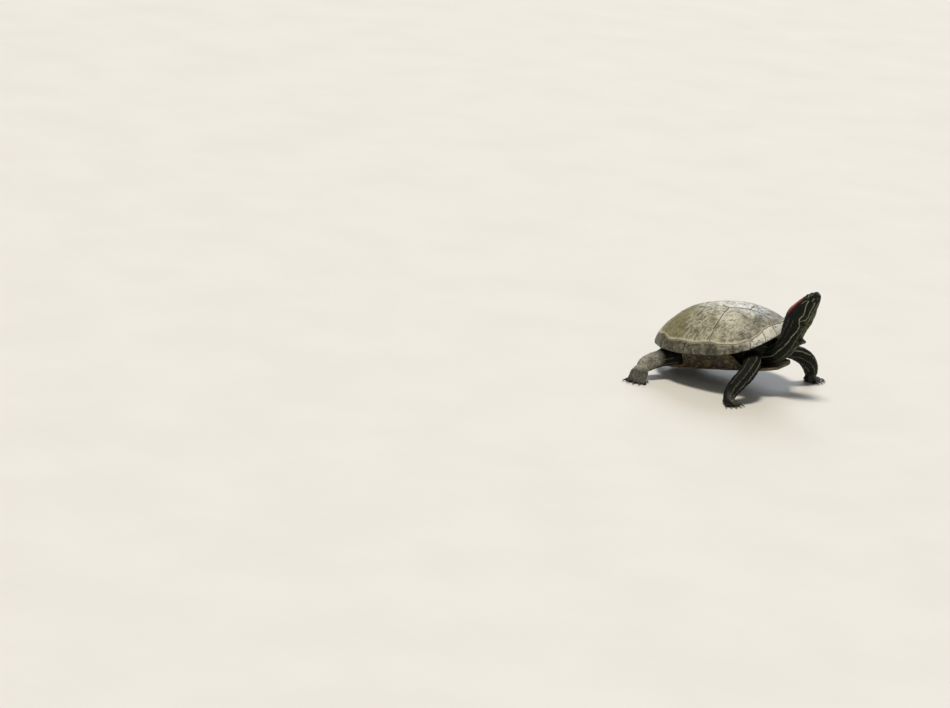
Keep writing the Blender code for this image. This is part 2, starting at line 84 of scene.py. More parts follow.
# The head's own frame: ahead to the snout, over the skull, and aside to the left
HEAD_PITCH = math.radians(48)
AHEAD = np.array([math.cos(HEAD_PITCH), 0, math.sin(HEAD_PITCH)])
OVER = np.array([-math.sin(HEAD_PITCH), 0, math.cos(HEAD_PITCH)])
ASIDE = np.array([0.0, 1, 0])
EYE_AT = (39.5, 15.5, 7.4)  # mm ahead, over and aside of the head's base
EYE_RADIUS = 4.6 * MM


def middle_of(node):
    low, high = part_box(node)
    return (np.array(low) + np.array(high)) / 2


EYE_CENTRES = {side: middle_of("eye_" + side) for side in EYES}
HEAD_BASE = (EYE_CENTRES["left"] + EYE_CENTRES["right"]) / 2 - (AHEAD * EYE_AT[0] + OVER * EYE_AT[1]) * MM
# The limbs' middle lines below were set out with the head's base at this place
SET_OUT_BASE = np.array([133.5, -15, 137]) * MM
SHIFT = HEAD_BASE - SET_OUT_BASE


def head_mm(points):
    """(ahead, over, aside) of points, in millimetres."""
    from_base = (points - HEAD_BASE) / MM
    return from_base @ AHEAD, from_base @ OVER, from_base @ ASIDE


def head_line(*places):
    """Stations of a middle line inside the head, from (ahead, over, radius) in millimetres."""
    base = SET_OUT_BASE / MM
    return [(*(base + AHEAD * ahead + OVER * over), radius) for ahead, over, radius in places]


# Middle lines of the limbs: x, y, z and radius in millimetres, and the way that angle 0 faces
LIMBS = {
    "neck": dict(
        zero=(-0.35, 0, 1),
        line=[(66, -3, 64, 20), (84, -6, 68, 20), (101, -9, 76, 20), (115, -12, 90, 19), (124, -14, 107, 19),
              (129, -15, 124, 19), (133, -15, 137, 20)]
        + head_line((10, 4, 20), (20, 7, 18), (29, 9, 15), (37, 10, 12.5), (44, 11, 10), (50, 12, 7), (54, 12.6, 5)),
    ),
    "foreleg_right": dict(
        zero=(1, 0, 0.1),
        line=[(66, -38, 62, 15), (76, -52, 60, 15), (83, -68, 56, 14), (84, -84, 47, 14), (79, -98, 35, 13),
              (74, -107, 24, 11), (71, -112, 14, 9), (74, -116, 7, 9), (86, -124, 5, 8), (96, -130, 3, 5)],
    ),
    "foreleg_left": dict(
        zero=(1, 0, 0.1),
        line=[(70, 38, 60, 15), (84, 50, 58, 15), (98, 64, 55, 14), (108, 80, 46, 14), (111, 93, 34, 13),
              (111, 102, 23, 11), (110, 107, 14, 9), (114, 109, 7, 9), (125, 112, 5, 8), (135, 114, 3, 5)],
    ),
    "hindleg_right": dict(
        zero=(0.3, 0, 1),
        line=[(-52, -34, 39, 15), (-63, -49, 37.5, 14), (-74, -63, 34.5, 13.5), (-83, -75, 31.5, 13),
              (-90, -87, 27.5, 12.5), (-94, -98, 22.5, 12), (-94, -109, 15, 12.5), (-92.5, -120, 7, 13),
              (-91, -134, 3, 9), (-90.5, -143, 2, 5)],
    ),
    "hindleg_left": dict(
        zero=(0.3, 0, 1),
        line=[(-50, 34, 39, 15), (-62, 50, 36, 14), (-73, 65, 33, 13), (-83, 77, 29, 12), (-92, 88, 24, 11.5),
              (-99, 98, 17, 11), (-103, 106, 11, 11), (-110, 117, 6, 11), (-119, 130, 3, 8), (-125, 138, 2, 5)],
    ),
    "tail": dict(
        zero=(0, 0, 1),
        line=[(-84, 1, 40, 10), (-98, 2, 34, 8), (-112, 4, 25, 6.5), (-126, 8, 15, 5), (-138, 13, 8, 3),
              (-149, 19, 4, 1.5)],
    ),
}
LIMB_NAMES = list(LIMBS)
# The limbs' numbers, in that order, and the number of everything else
NECK, FORE_RIGHT, FORE_LEFT, HIND_RIGHT, HIND_LEFT, TAIL, TRUNK = range(len(LIMB_NAMES) + 1)


# ---------------------------------------------------------------- numbers, noise and meshes


def linear(hex_colour):
    """A colour as the renderer takes it, from its sRGB hex value."""
    parts = [int(hex_colour[k : k + 2], 16) / 255 for k in (1, 3, 5)]
    return (*[p / 12.92 if p <= 0.04045 else ((p + 0.055) / 1.055) ** 2.4 for p in parts], 1.0)


def ease(values, low=0.0, high=1.0):
    """0 below low and 1 above high, with a smooth climb between them."""
    t = np.clip((values - low) / (high - low), 0, 1)
    return t * t * (3 - 2 * t)


def hill(values, width):
    """1 at 0, falling off on both sides."""
    return np.exp(-((values / width) ** 2))


def unit(vectors):
    """Vectors made 1 long."""
    return vectors / np.linalg.norm(vectors, axis=-1, keepdims=True)


def lumps(points, size, seed=0, octaves=1):
    """Smooth random values from -1 to 1 that change over about `size`, at each point.

    The large odd numbers mix a cell's place and the seed into one whole number without a pattern.
    """
    total, weight, reach = 0.0, 1.0, 0.0
    for octave in range(octaves):
        place = points / size * 2 ** octave + seed * 17.31
        cell = np.floor(place).astype(np.int64)
        part = place - cell
        part = part * part * (3 - 2 * part)
        value = 0.0
        for corner in range(8):
            step = np.array([corner & 1, corner >> 1 & 1, corner >> 2 & 1])
            at = cell + step
            mixed = at[:, 0] * 73856093 ^ at[:, 1] * 19349663 ^ at[:, 2] * 83492791 ^ (seed + octave) * 2654435761
            mixed = (mixed ^ mixed >> 13) * 1274126177 & 0x7FFFFFFF
            mixed = (mixed ^ mixed >> 16) & 0xFFFF
            share = np.prod(np.where(step, part, 1 - part), axis=1)
            value = value + share * (mixed / 32767.5 - 1)
        total = total + value * weight
        reach += weight
        weight *= 0.5
    return total / reach


def placed(name, data):
    """A new object in the scene, made of a mesh, a lamp or a camera."""
    thing = bpy.data.objects.new(name, data)
    bpy.context.scene.collection.objects.link(thing)
    return thing


def add_fields(mesh, **fields):
    """Stores a number or a vector at each point of a mesh, by name."""
    for key, values in fields.items():
        kind, field = ("FLOAT_VECTOR", "vector") if np.ndim(values) == 2 else ("FLOAT", "value")
        layer = mesh.attributes.new(key, kind, "POINT")
        layer.data.foreach_set(field, np.ascontiguousarray(values, np.float32).ravel())


def mesh_piece(name, points, faces, look, slot_name, **fields):
    """A finished piece from points in world space, faces and per-point numbers."""
    mesh = bpy.data.meshes.new(name)
    mesh.from_pydata(np.asarray(points, float).tolist(), [], [list(map(int, face)) for face in faces])
    add_fields(mesh, **fields)
    mesh.shade_smooth()
    mesh.materials.append(look)
    piece = placed(name, mesh)
    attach(piece, "root")
    return piece


def poled_faces(rows, around):
    """Faces of rings between two poles: the first point, rows of around points, and the last point."""
    ring = np.arange(around)
    following = np.roll(ring, -1)
    last = 1 + rows * around
    faces = np.stack([0 * ring, 1 + ring, 1 + following], 1).tolist()
    for row in range(rows - 1):
        a, b = 1 + row * around, 1 + (row + 1) * around
        faces += np.stack([a + ring, b + ring, b + following, a + following], 1).tolist()
    return faces + np.stack([0 * ring + last, last - around + following, last - around + ring], 1).tolist()


def solid_shape(name):
    """One of the frame's solids in world space, its doubled corners merged."""
    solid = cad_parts[name]
    shape = bmesh.new()
    shape.from_mesh(solid.data)
    shape.transform(solid.matrix_world)
    bmesh.ops.remove_doubles(shape, verts=shape.verts, dist=0.01 * MM)
    return shape


def plain_mesh(thing):
    """The object's mesh with its modifiers applied, put in place of the old one."""
    graph = bpy.context.evaluated_depsgraph_get()
    made = bpy.data.meshes.new_from_object(thing.evaluated_get(graph))
    thing.modifiers.clear()
    old, thing.data = thing.data, made
    bpy.data.meshes.remove(old)
    return made


def read(items, field, width=1, kind=np.int32):
    """What each of a mesh's items says in a field, as rows where it is more than one number."""
    flat = np.empty(len(items) * width, kind)
    items.foreach_get(field, flat)
    return flat.reshape(-1, width) if width > 1 else flat


def points_of(mesh):
    return read(mesh.vertices, "co", 3, np.float32).astype(float)


def set_points(mesh, points):
    mesh.vertices.foreach_set("co", points.astype(np.float32).ravel())
    mesh.update()


def normals_of(mesh):
    return read(mesh.vertex_normals, "vector", 3, np.float32).astype(float)


def edges_of(mesh):
    return read(mesh.edges, "vertices", 2)


STEP_BACK = 1.02  # how much longer the step out is than the step in, so that smoothing does not shrink


def smoothed(points, edges, rounds, amount=0.5):
    """Points moved towards the middle of their neighbours and back out again, round by round."""
    count = np.bincount(edges.ravel(), minlength=len(points))[:, None].clip(1)
    for _ in range(rounds):
        for step in (amount, -amount * STEP_BACK):
            total = np.zeros_like(points)
            for axis in range(3):
                total[:, axis] = np.bincount(edges[:, 0], points[edges[:, 1], axis], len(points))
                total[:, axis] += np.bincount(edges[:, 1], points[edges[:, 0], axis], len(points))
            points = points + (total / count - points) * step
    return points


# ---------------------------------------------------------------- nodes

MATH, MIX, RAMP, RANGE = "ShaderNodeMath", "ShaderNodeMix", "ShaderNodeValToRGB", "ShaderNodeMapRange"
NOISE, FIELD, PLACE, BUMP = "ShaderNodeTexNoise", "ShaderNodeAttribute", "ShaderNodeTexCoord", "ShaderNodeBump"
COLOURS = dict(data_type="RGBA", out=2)  # a Mix node that mixes its inputs 6 and 7
SMOOTH = dict(interpolation_type="SMOOTHSTEP")
PLUS, TIMES, TIMES_PLUS = (dict(operation=name) for name in ("ADD", "MULTIPLY", "MULTIPLY_ADD"))


def node(tree, kind, *values, out=0, stops=(), **named):
    """Adds a node of a kind, or takes one that is there, and returns one of its outputs.

    Values go to its first inputs in turn, and names in capitals to those inputs (_6 is input 6). Each is a
    number, a colour or an output to link. Names in small letters set its properties, and stops are a ramp's.
    """
    made = tree.nodes.new(kind) if isinstance(kind, str) else kind
    given = list(enumerate(values))
    for key, value in named.items():
        if key[0].islower():
            setattr(made, key, value)
        else:
            given.append((int(key[1:]) if key[0] == "_" else key.replace("_", " "), value))
    for key, value in given:
        if isinstance(value, bpy.types.NodeSocket):
            tree.links.new(value, made.inputs[key])
        elif value is not None:
            made.inputs[key].default_value = linear(value) if str(value)[0] == "#" else value
    while stops and len(stops) > len(made.color_ramp.elements):
        made.color_ramp.elements.new(0.5)
    for number, (place, value) in enumerate(stops):
        element = made.color_ramp.elements[number]
        element.position = place
        element.color = linear(value) if str(value)[0] == "#" else np.broadcast_to(value, 4)
    return None if out is None else made.outputs[out]


def new_material(name):
    made = bpy.data.materials.new(name)
    made.use_nodes = True
    tree = made.node_tree
    return made, tree, tree.nodes["Principled BSDF"]


# ---------------------------------------------------------------- where a point lies on a limb


def limb_samples(limb, per_step=10):
    """Points, radii, arc lengths (mm) and the three directions along a limb's middle line."""
    rows = np.array(limb["line"], float)
    steps = len(rows) - 1
    places = np.concatenate([np.linspace(k, k + 1, per_step, endpoint=False) for k in range(steps)] + [[steps]])
    line = np.stack([np.interp(places, np.arange(len(rows)), column) for column in rows.T], 1)
    for _ in range(12):  # rounds the corners off
        line[1:-1] = (line[:-2] + 2 * line[1:-1] + line[2:]) / 4
    points = line[:, :3] * MM + SHIFT
    length = np.r_[0, np.cumsum(np.linalg.norm(np.diff(points, axis=0), axis=1))] / MM
    ahead = unit(np.gradient(points, axis=0))
    zero = np.array(limb["zero"], float)
    zero = unit(zero - ahead * (ahead @ zero)[:, None])
    side = np.cross(zero, ahead)
    return dict(points=points, radius=line[:, 3] * MM, length=length, ahead=ahead, zero=zero, side=side)


SAMPLES = {name: limb_samples(limb) for name, limb in LIMBS.items()}


AT_ONCE = 20000  # points whose nearest samples are looked for together, to spare memory
ON_LIMB = 1.55  # closeness above which a point is on no limb


def along_limb(name, points):
    """Closeness (distance over radius), arc length in mm, angle in degrees, distance in mm, way along."""
    line = SAMPLES[name]
    nearest = np.empty(len(points), int)
    for start in range(0, len(points), AT_ONCE):
        some = slice(start, start + AT_ONCE)
        apart = ((points[some, None] - line["points"][None]) ** 2).sum(2)
        nearest[some] = (apart / line["radius"][None] ** 2).argmin(1)
    away = points - line["points"][nearest]
    ahead = line["ahead"][nearest]
    forward = (away * ahead).sum(1)
    out = away - ahead * forward[:, None]
    distance = np.linalg.norm(out, axis=1)
    angle = np.degrees(np.arctan2((out * line["side"][nearest]).sum(1), (out * line["zero"][nearest]).sum(1)))
    closeness = np.linalg.norm(away, axis=1) / line["radius"][nearest]
    return closeness, line["length"][nearest] + forward / MM, angle, distance / MM, ahead


def limb_places(points):
    """For each point its limb's number and all but the closeness that along_limb gives for it."""
    closeness, *rest = (np.stack(values) for values in zip(*(along_limb(name, points) for name in LIMB_NAMES)))
    which = np.concatenate([closeness, np.full((1, len(points)), ON_LIMB)]).argmin(0)
    pick, rows = np.minimum(which, TRUNK - 1), np.arange(len(points))
    return which, *(values[pick, rows] for values in rest)


# ---------------------------------------------------------------- markings of the skin

# Stripes on one side: half width (mm), brightness, and (arc length in mm, angle in degrees) down the limb
NECK_STRIPES = [
    (0.60, 0.2, [(158, 34), (149, 40), (138, 36), (122, 34), (100, 36), (60, 40), (0, 42)]),
    (0.75, 0.2, [(106, 58), (90, 60), (60, 62), (0, 62)]),
    (0.70, 1.00, [(147, 86), (144, 91), (132, 111), (124, 117), (115, 110), (110, 112), (104, 125), (94, 124),
                  (86, 117), (76, 111), (66, 106), (40, 104), (0, 103)]),
    (0.60, 0.80, [(151, 137), (148, 141), (145, 144), (135, 141), (124, 144), (118, 138), (112, 117)]),
    (0.70, 0.45, [(152, 162), (138, 158), (120, 154), (95, 147), (60, 141), (0, 138)]),
    (1.00, 0.50, [(157, 180), (140, 180), (110, 180), (0, 180)]),
    (0.45, 0.18, [(116, 14), (90, 14), (50, 15), (0, 15)]),
    (0.50, 0.18, [(108, 82), (90, 86), (50, 84), (0, 82)]),
    (0.45, 0.30, [(160, 12), (150, 9), (138, 7)]),
    (0.40, 0.85, [(146, 75), (142, 70), (137, 68)]),
    (0.45, 0.22, [(161, 62), (156, 66), (153, 66)]),
    (1.00, 0.50, [(155, 113), (151, 110)]),
]
RED_STRIPE = [(146, 51), (138, 44), (126, 38), (110, 36)]
RED_WIDTHS = [(146, 0.6), (140, 2.8), (133, 5.0), (126, 6.0), (119, 5.4), (112, 3.4), (107, 0.6)]
LEG_STRIPES = {
    "foreleg": [
        (1.0, 0.45, [(16, 8), (40, 12), (70, 14), (88, 16), (112, 18)]),
        (0.7, 0.32, [(22, 48), (50, 50), (84, 52), (104, 54)]),
        (0.7, 0.32, [(26, -36), (50, -34), (84, -30), (110, -26)]),
        (0.6, 0.30, [(30, 100), (60, 104), (84, 110)]),
        (0.6, 0.30, [(30, -84), (60, -80), (88, -76)]),
    ],
    "hindleg": [
        (0.9, 0.35, [(20, 150), (50, 150), (90, 150)]),
        (0.8, 0.30, [(20, 112), (50, 112), (96, 116)]),
        (0.9, 0.35, [(20, -150), (50, -150), (90, -150)]),
        (0.8, 0.30, [(20, -112), (50, -112), (96, -116)]),
        (0.6, 0.25, [(30, 70), (60, 70), (110, 66)]),
        (0.6, 0.25, [(30, -70), (60, -70), (110, -66)]),
    ],
}
TAIL_STRIPES = [(0.5, 0.35, [(0, middle), (200, middle)]) for middle in (0, 55, 120)]
# Limb, where its dust begins and is full (mm along it), and the most there is
DUSTY_LEGS = [(HIND_RIGHT, 40, 62, 1.0), (HIND_LEFT, 45, 75, 0.7), (FORE_RIGHT, 86, 110, 0.3),
              (FORE_LEFT, 86, 110, 0.3)]
FAR = 30.0  # mm, where there is no marking near


def stripe_gap(length, angle, distance, places, mirrored=True):
    """How far each point lies from a stripe's middle line, in millimetres."""
    turned = np.abs(angle) if mirrored else angle
    gap = np.full(len(length), FAR)
    for (l0, a0), (l1, a1) in zip(places[:-1], places[1:]):
        run = l1 - l0
        share = np.clip((length - l0) / run, 0, 1)
        middle = a0 + (a1 - a0) * share
        across = np.radians((turned - middle + 180) % 360 - 180) * distance
        slant = math.radians(a1 - a0) * distance / run
        off_end = length - (l0 + run * share)
        gap = np.minimum(gap, np.hypot(across / np.sqrt(1 + slant ** 2), off_end))
    return gap


def nearest_stripe(stripes, length, angle, distance, mirrored):
    """The signed gap to the nearest stripe's edge (mm), and how bright that stripe is."""
    found, glow = np.full(len(length), FAR), np.zeros(len(length))
    for half, bright, places in stripes:
        gap = stripe_gap(length, angle, distance, places, mirrored) - half
        glow = np.where(gap < found, bright, glow)
        found = np.minimum(found, gap)
    return found, glow


def markings(points, places):
    """Per-point numbers for the skin's colours: signed gaps to stripes in mm, and soft shares."""
    which, length, angle, distance, _ = places
    angle = angle + lumps(points, 9 * MM, 3) * 3.0
    marks = {key: np.full(len(points), FAR) for key in ("yellow", "red")}
    marks.update((key, np.zeros(len(points))) for key in ("glow", "pale", "flush"))
    for number, name in enumerate(LIMB_NAMES):
        kind, _, side = name.partition("_")
        stripes = dict(LEG_STRIPES, neck=NECK_STRIPES, tail=TAIL_STRIPES)[kind]
        turn = -1 if side == "right" else 1
        on = which == number
        gap, glow = nearest_stripe(stripes, length[on], angle[on] * turn, distance[on], mirrored=not side)
        marks["yellow"][on], marks["glow"][on] = gap, glow
    # The neck: the ear's red patch, painted paler on its upper side as a highlight and darker below as shade, stripes
    # that fade towards the shell, and a pale underside
    on = which == NECK
    ends, widths = zip(*RED_WIDTHS[::-1])
    gap = stripe_gap(length[on], angle[on], distance[on], RED_STRIPE)
    marks["red"][on] = gap - np.interp(length[on], ends, widths)
    marks["glow"][on] *= 0.5 + 0.5 * ease(length[on], 20, 90)
    # Painted light on the red patch: above 0 over the patch's middle line, below 0 under it
    marks["flush"][on] = np.radians(RED_STRIPE[2][1] - np.abs(angle[on])) * distance[on]
    marks["pale"][on] = ease(np.abs(angle[on]), 118, 158) * (0.55 + 0.45 * ease(length[on], 60, 100))
    # Dry silt on the legs' upper sides, but not on the hind feet, which are wet
    dust = np.zeros(len(points))
    for limb, start, end, most in DUSTY_LEGS:
        dust = np.where(which == limb, most * ease(length, start, end), dust)
    wet = np.where(np.isin(which, (HIND_RIGHT, HIND_LEFT)), 0.7 * ease(length, 89, 99), 0.0)
    marks["dust"] = dust * ease(np.abs(angle), 125, 80) * (1 - wet)
    return marks


# ---------------------------------------------------------------- the materials


def skin_look(settings):
    """Reptile skin: dry keratin over soft hide, so broad dull gloss, with stripes in the hide itself."""
    look, tree, shader = new_material("reptile_skin")
    place = node(tree, PLACE, out="Object")
    fine, blots, silt, broad = (
        node(tree, NOISE, place, None, 0.5 / (size * MM), detail)
        for size, detail in ((1.6, 3), (3.2, 4), (9, 3), (11, 3))
    )
    pale, yellow, glow, red, flush, dust, crest = (
        node(tree, FIELD, attribute_name=key, out="Fac")
        for key in ("pale", "yellow", "glow", "red", "flush", "dust", "crest")
    )
    ragged = node(tree, MATH, fine, 1.1, -0.55, **TIMES_PLUS)
    in_stripe = node(tree, RANGE, node(tree, MATH, yellow, ragged, **PLUS), -0.12, 0.28, 0.92, 0.0, **SMOOTH)
    ear_light_share = node(tree, MATH, node(tree, RANGE, flush, -4.5, 4.5), ragged, **PLUS)
    silt = node(tree, RANGE, silt, 0.25, 0.6, 0.35, 1.0, **SMOOTH)
    belly = node(tree, RAMP, blots, stops=[(0.46, "#191C11"), (0.56, settings.pale)])
    stripe = node(tree, RAMP, broad, stops=[(0.35, settings.stripe), (0.65, "#ABAA98")])
    # The red patch: painted shade in dark red below, and a painted salmon highlight on its upper side
    ear = node(tree, RAMP, ear_light_share, stops=[(0.1, "#2B0C0A"), (0.5, settings.red), (0.95, "#B4776B")])
    dry = node(tree, RAMP, fine, stops=[(0.3, "#77776A"), (0.7, "#B9B7AA")])
    colour = node(tree, RAMP, broad, stops=[(0.32, settings.dark), (0.68, settings.ground)])
    for share, tint in (
        (node(tree, RANGE, fine, 0.52, 0.75, **SMOOTH), settings.fleck),
        (node(tree, MATH, pale, 0.6, **TIMES), belly),
        (node(tree, RANGE, yellow, 0.2, 1.2, 0.6, 0.0, **SMOOTH), "#10140C"),  # beside each stripe
        (node(tree, MATH, in_stripe, glow, **TIMES), stripe),
        (node(tree, RANGE, node(tree, MATH, red, ragged, **PLUS), -2.4, 0.8, 1.0, 0.0, **SMOOTH), ear),
        (node(tree, MATH, dust, silt, **TIMES), dry),
        (node(tree, RANGE, crest, 0.15, 1.0, 0.0, 0.14, **SMOOTH), "#6A6C58"),  # worn folds
    ):
        colour = node(tree, MIX, share, _6=colour, _7=tint, **COLOURS)
    dull = node(tree, RAMP, fine, stops=[(0.3, 0.42), (0.7, 0.62)])
    grain = node(tree, "ShaderNodeTexVoronoi", Vector=place, Scale=620.0, feature="DISTANCE_TO_EDGE")
    relief = node(tree, MATH, node(tree, RANGE, grain, 0.0, 0.25, 0.0, 0.6, **SMOOTH), fine, **PLUS)
    bump = node(tree, BUMP, Height=relief, Distance=0.35 * MM, Strength=0.8)
    node(tree, shader, Base_Color=colour, Roughness=dull, Specular_IOR_Level=0.22, Normal=bump, IOR=1.45)
    return look


def horn_look(settings):
    """Weathered horn (keratin): matt and dusty, paler on top, with painted highlights in patches on the flanks and
    shoulders and painted shade at the rim and the front, greener and darker where algae holds.
    """
    look, tree, shader = new_material("carapace_horn")
    place = node(tree, PLACE, out="Object")
    fine, small, middle, broad = (
        node(tree, NOISE, place, None, 0.5 / (size * MM), detail, rough)
        for size, detail, rough in ((1.4, 5, 0.65), (2.8, 3, 0.7), (7, 4, 0.6), (32, 3, 0.5))
    )
    growth, plate, around, down, rear, dusty, blotch, crease, grime, bleach, edge, lip = (
        node(tree, FIELD, attribute_name=key, out="Fac")
        for key in ("growth", "plate", "around", "down", "rear", "dusty", "blotch", "crease", "grime", "bleach",
                    "edge", "lip")
    )
    mottled = node(tree, MATH, small, 0.65, node(tree, MATH, middle, 0.35, **TIMES), **TIMES_PLUS)
    rings = node(tree, NOISE, node(tree, "ShaderNodeCombineXYZ", growth, plate), None, 0.5 / 0.03, 2, 0.5)
    streak = node(tree, NOISE, node(tree, "ShaderNodeCombineXYZ", around, down), None, 1.0, 4, 0.6)
    green = node(tree, RAMP, fine, stops=[(0.3, settings.algae), (0.7, "#80784A")])
    algae = node(tree, RANGE, node(tree, MATH, middle, 0.5, rear, **TIMES_PLUS), 0.6, 1.0, 0.0, 0.72, **SMOOTH)
    # Dust, with the painted highlights on the flanks and shoulders
    dust_and_highlights_share = node(tree, MATH, node(tree, RANGE, broad, 0.46, 0.66, 0.0, 0.3, **SMOOTH), dusty, **PLUS)
    patchy = node(tree, RANGE, mottled, 0.42, 0.53, 0.2, 0.9, **SMOOTH)
    dust_and_highlights_share = node(tree, MATH, dust_and_highlights_share, patchy, use_clamp=True, **TIMES)
    step = node(tree, MATH, node(tree, MATH, fine, 0.7, -0.35, **TIMES_PLUS), crease, **PLUS)
    colour = node(tree, RAMP, mottled,
                  stops=[(0.42, settings.horn_dark), (0.5, settings.horn), (0.58, settings.horn_light)])
    for share, tint in (
        (node(tree, RANGE, rings, 0.52, 0.66, 0.0, 0.22, **SMOOTH), settings.horn_dark),
        (node(tree, RANGE, rings, 0.34, 0.46, 0.2, 0.0, **SMOOTH), settings.dust),
        (node(tree, RANGE, streak, 0.5, 0.64, 0.0, 0.55, **SMOOTH), settings.dust),
        (node(tree, RANGE, streak, 0.34, 0.48, 0.5, 0.0, **SMOOTH), settings.horn_dark),
        (algae, green),
        (dust_and_highlights_share, settings.dust),
        (node(tree, MATH, blotch, node(tree, RANGE, middle, 0.36, 0.56, **SMOOTH), **TIMES), "#20241A"),
        (node(tree, RANGE, step, 0.35, 0.95, 0.0, 0.25, **SMOOTH), "#3B3729"),
        # Darker rear marginals, and painted shade on the rim's edge and the front of the dome
        (node(tree, MATH, grime, node(tree, RANGE, mottled, 0.4, 0.58, 1.0, 0.62), **TIMES), "#2F2C1F"),
        (node(tree, MATH, bleach, node(tree, RANGE, mottled, 0.42, 0.5, 0.15, 1.0), **TIMES), settings.bleached),
        (node(tree, RANGE, edge, 0.1, 1.1, 0.55, 0.0, **SMOOTH), settings.seam),
        (node(tree, MATH, lip, node(tree, RANGE, middle, 0.3, 0.5, 0.55, 1.0), **TIMES), settings.new_horn),
    ):
        colour = node(tree, MIX, share, _6=colour, _7=tint, **COLOURS)
    dull = node(tree, RANGE, node(tree, MATH, fine, 0.3, broad, **TIMES_PLUS), 0.55, 0.75, 0.55, 0.33)
    relief = node(tree, MATH, middle, 1.4, fine, **TIMES_PLUS)
    bump = node(tree, BUMP, Height=relief, Distance=0.28 * MM, Strength=0.7)
    node(tree, shader, Base_Color=colour, Roughness=dull, Normal=bump, IOR=1.54)
    return look


def seam_look(name, grain_size, dark, pale, dull):
    """The living layer that shows in the seams and rims of plates: matt and dark, with paler new horn."""
    look, tree, shader = new_material(name)
    grain = node(tree, NOISE, node(tree, PLACE, out="Object"), None, 0.5 / (grain_size * MM), 3.0)
    node(tree, shader, Base_Color=node(tree, RAMP, grain, stops=[(0.35, dark), (0.65, pale)]), Roughness=dull)
    return look


def belly_look(settings):
    """Plastron horn: smooth and waxy, its yellow darkened all over as painted shade, with dark dots and a dark ring on
    each plate.
    """
    look, tree, shader = new_material("plastron_horn")
    place = node(tree, PLACE, out="Object")
    fine, dots, wander, broad = (
        node(tree, NOISE, place, None, 0.5 / (size * MM), detail)
        for size, detail in ((2, 4), (3.4, 2), (5, 3), (14, 3))
    )
    spot, edge = (node(tree, FIELD, attribute_name=key, out="Fac") for key in ("spot", "edge"))
    far = node(tree, MATH, node(tree, MATH, wander, 0.75, -0.375, **TIMES_PLUS), spot, **PLUS)
    ring = node(tree, MATH, node(tree, RANGE, far, 0.46, 0.54, 1.0, 0.0, **SMOOTH),
                node(tree, RANGE, far, 0.16, 0.26, **SMOOTH), **TIMES)
    # The plastron's colours, and the wide spread of its dark dots, are darkened throughout as painted shade
    colour = node(tree, RAMP, broad, stops=[(0.3, "#3F361F"), (0.7, settings.belly)])
    for share, tint in (
        (node(tree, RANGE, dots, 0.42, 0.49, **SMOOTH), "#13110B"),
        (node(tree, RANGE, fine, 0.55, 0.75, 0.0, 0.5, **SMOOTH), "#8A7440"),
        (ring, "#23261C"),
        (node(tree, RANGE, edge, 0.1, 0.8, 0.8, 0.0, **SMOOTH), "#4A3C22"),
    ):
        colour = node(tree, MIX, share, _6=colour, _7=tint, **COLOURS)
    dull = node(tree, RAMP, fine, stops=[(0.3, 0.34), (0.7, 0.5)])
    bump = node(tree, BUMP, Height=fine, Distance=0.15 * MM, Strength=0.5)
    node(tree, shader, Base_Color=colour, Roughness=dull, Normal=bump, IOR=1.54)
    return look


def claw_look():
    """Claw horn: hard and polished by wear, dark at the root and paler at the point."""
    look, tree, shader = new_material("claw_horn")
    grain = node(tree, NOISE, node(tree, PLACE, out="Object"), None, 0.5 / (0.9 * MM), 3, 0.5)
    root = node(tree, RAMP, grain, stops=[(0.3, "#1C1814"), (0.7, "#3B342A")])
    tip = node(tree, RAMP, grain, stops=[(0.3, "#5E5545"), (0.7, "#857B66")])
    far = node(tree, RANGE, node(tree, FIELD, attribute_name="reach", out="Fac"), 0.45, 1.0, **SMOOTH)
    colour = node(tree, MIX, far, _6=root, _7=tip, **COLOURS)
    node(tree, shader, Base_Color=colour, Roughness=0.32, IOR=1.54)
    return look


def eye_look(settings):
    """A wet eye: clear cornea over a green-gold iris darkened as painted shade, crossed by a dark bar through the
    pupil.
    """
    look, tree, shader = new_material("wet_eye")
    gaze = node(tree, FIELD, attribute_name="gaze", out="Vector")
    across, up = node(tree, "ShaderNodeSeparateXYZ", gaze).node.outputs[:2]
    far = node(tree, MATH, across, across, node(tree, MATH, up, up, **TIMES), **TIMES_PLUS)
    far = node(tree, MATH, far, operation="SQRT")
    threads = node(tree, NOISE, gaze, None, 9.0, 4.0)
    thready = node(tree, MATH, node(tree, MATH, threads, 0.25, -0.125, **TIMES_PLUS), far, **PLUS)
    bar = node(tree, MATH, threads, 0.08, node(tree, MATH, up, operation="ABSOLUTE"), **TIMES_PLUS)
    colour = node(tree, RAMP, thready,
                  stops=[(0.26, settings.iris), (0.44, "#30351A"), (0.58, "#1B2010"), (0.7, "#0D100A")])
    for share, tint in (
        (node(tree, RANGE, bar, 0.1, 0.17, 0.85, 0.0, **SMOOTH), "#0C0D0A"),
        (node(tree, RANGE, far, 0.21, 0.25, 1.0, 0.0, **SMOOTH), "#030303"),
    ):
        colour = node(tree, MIX, share, _6=colour, _7=tint, **COLOURS)
    node(tree, shader, Base_Color=colour, Roughness=0.12, Coat_Weight=1.0, Coat_Roughness=0.02, IOR=1.38)
    return look


# ---------------------------------------------------------------- the skin


LID_SWELL = 0.9 * MM  # how far the balls under the lids stand out from the eyeballs


def joined_flesh(swell):
    """One mesh of all the flesh, each solid a little swollen so that neighbours meet, with the lids' balls."""
    gathered = bmesh.new()
    for name in FLESH:
        part = solid_shape(name)
        part.normal_update()
        for vertex in part.verts:
            vertex.co += vertex.normal * swell
        spare = bpy.data.meshes.new("spare")
        part.to_mesh(spare)
        part.free()
        gathered.from_mesh(spare)
        bpy.data.meshes.remove(spare)
    for centre in EYE_CENTRES.values():
        place = Matrix.Translation(Vector(centre))
        bmesh.ops.create_icosphere(gathered, subdivisions=4, radius=EYE_RADIUS + LID_SWELL, matrix=place)
    mesh = bpy.data.meshes.new("skin")
    gathered.to_mesh(mesh)
    gathered.free()
    return mesh


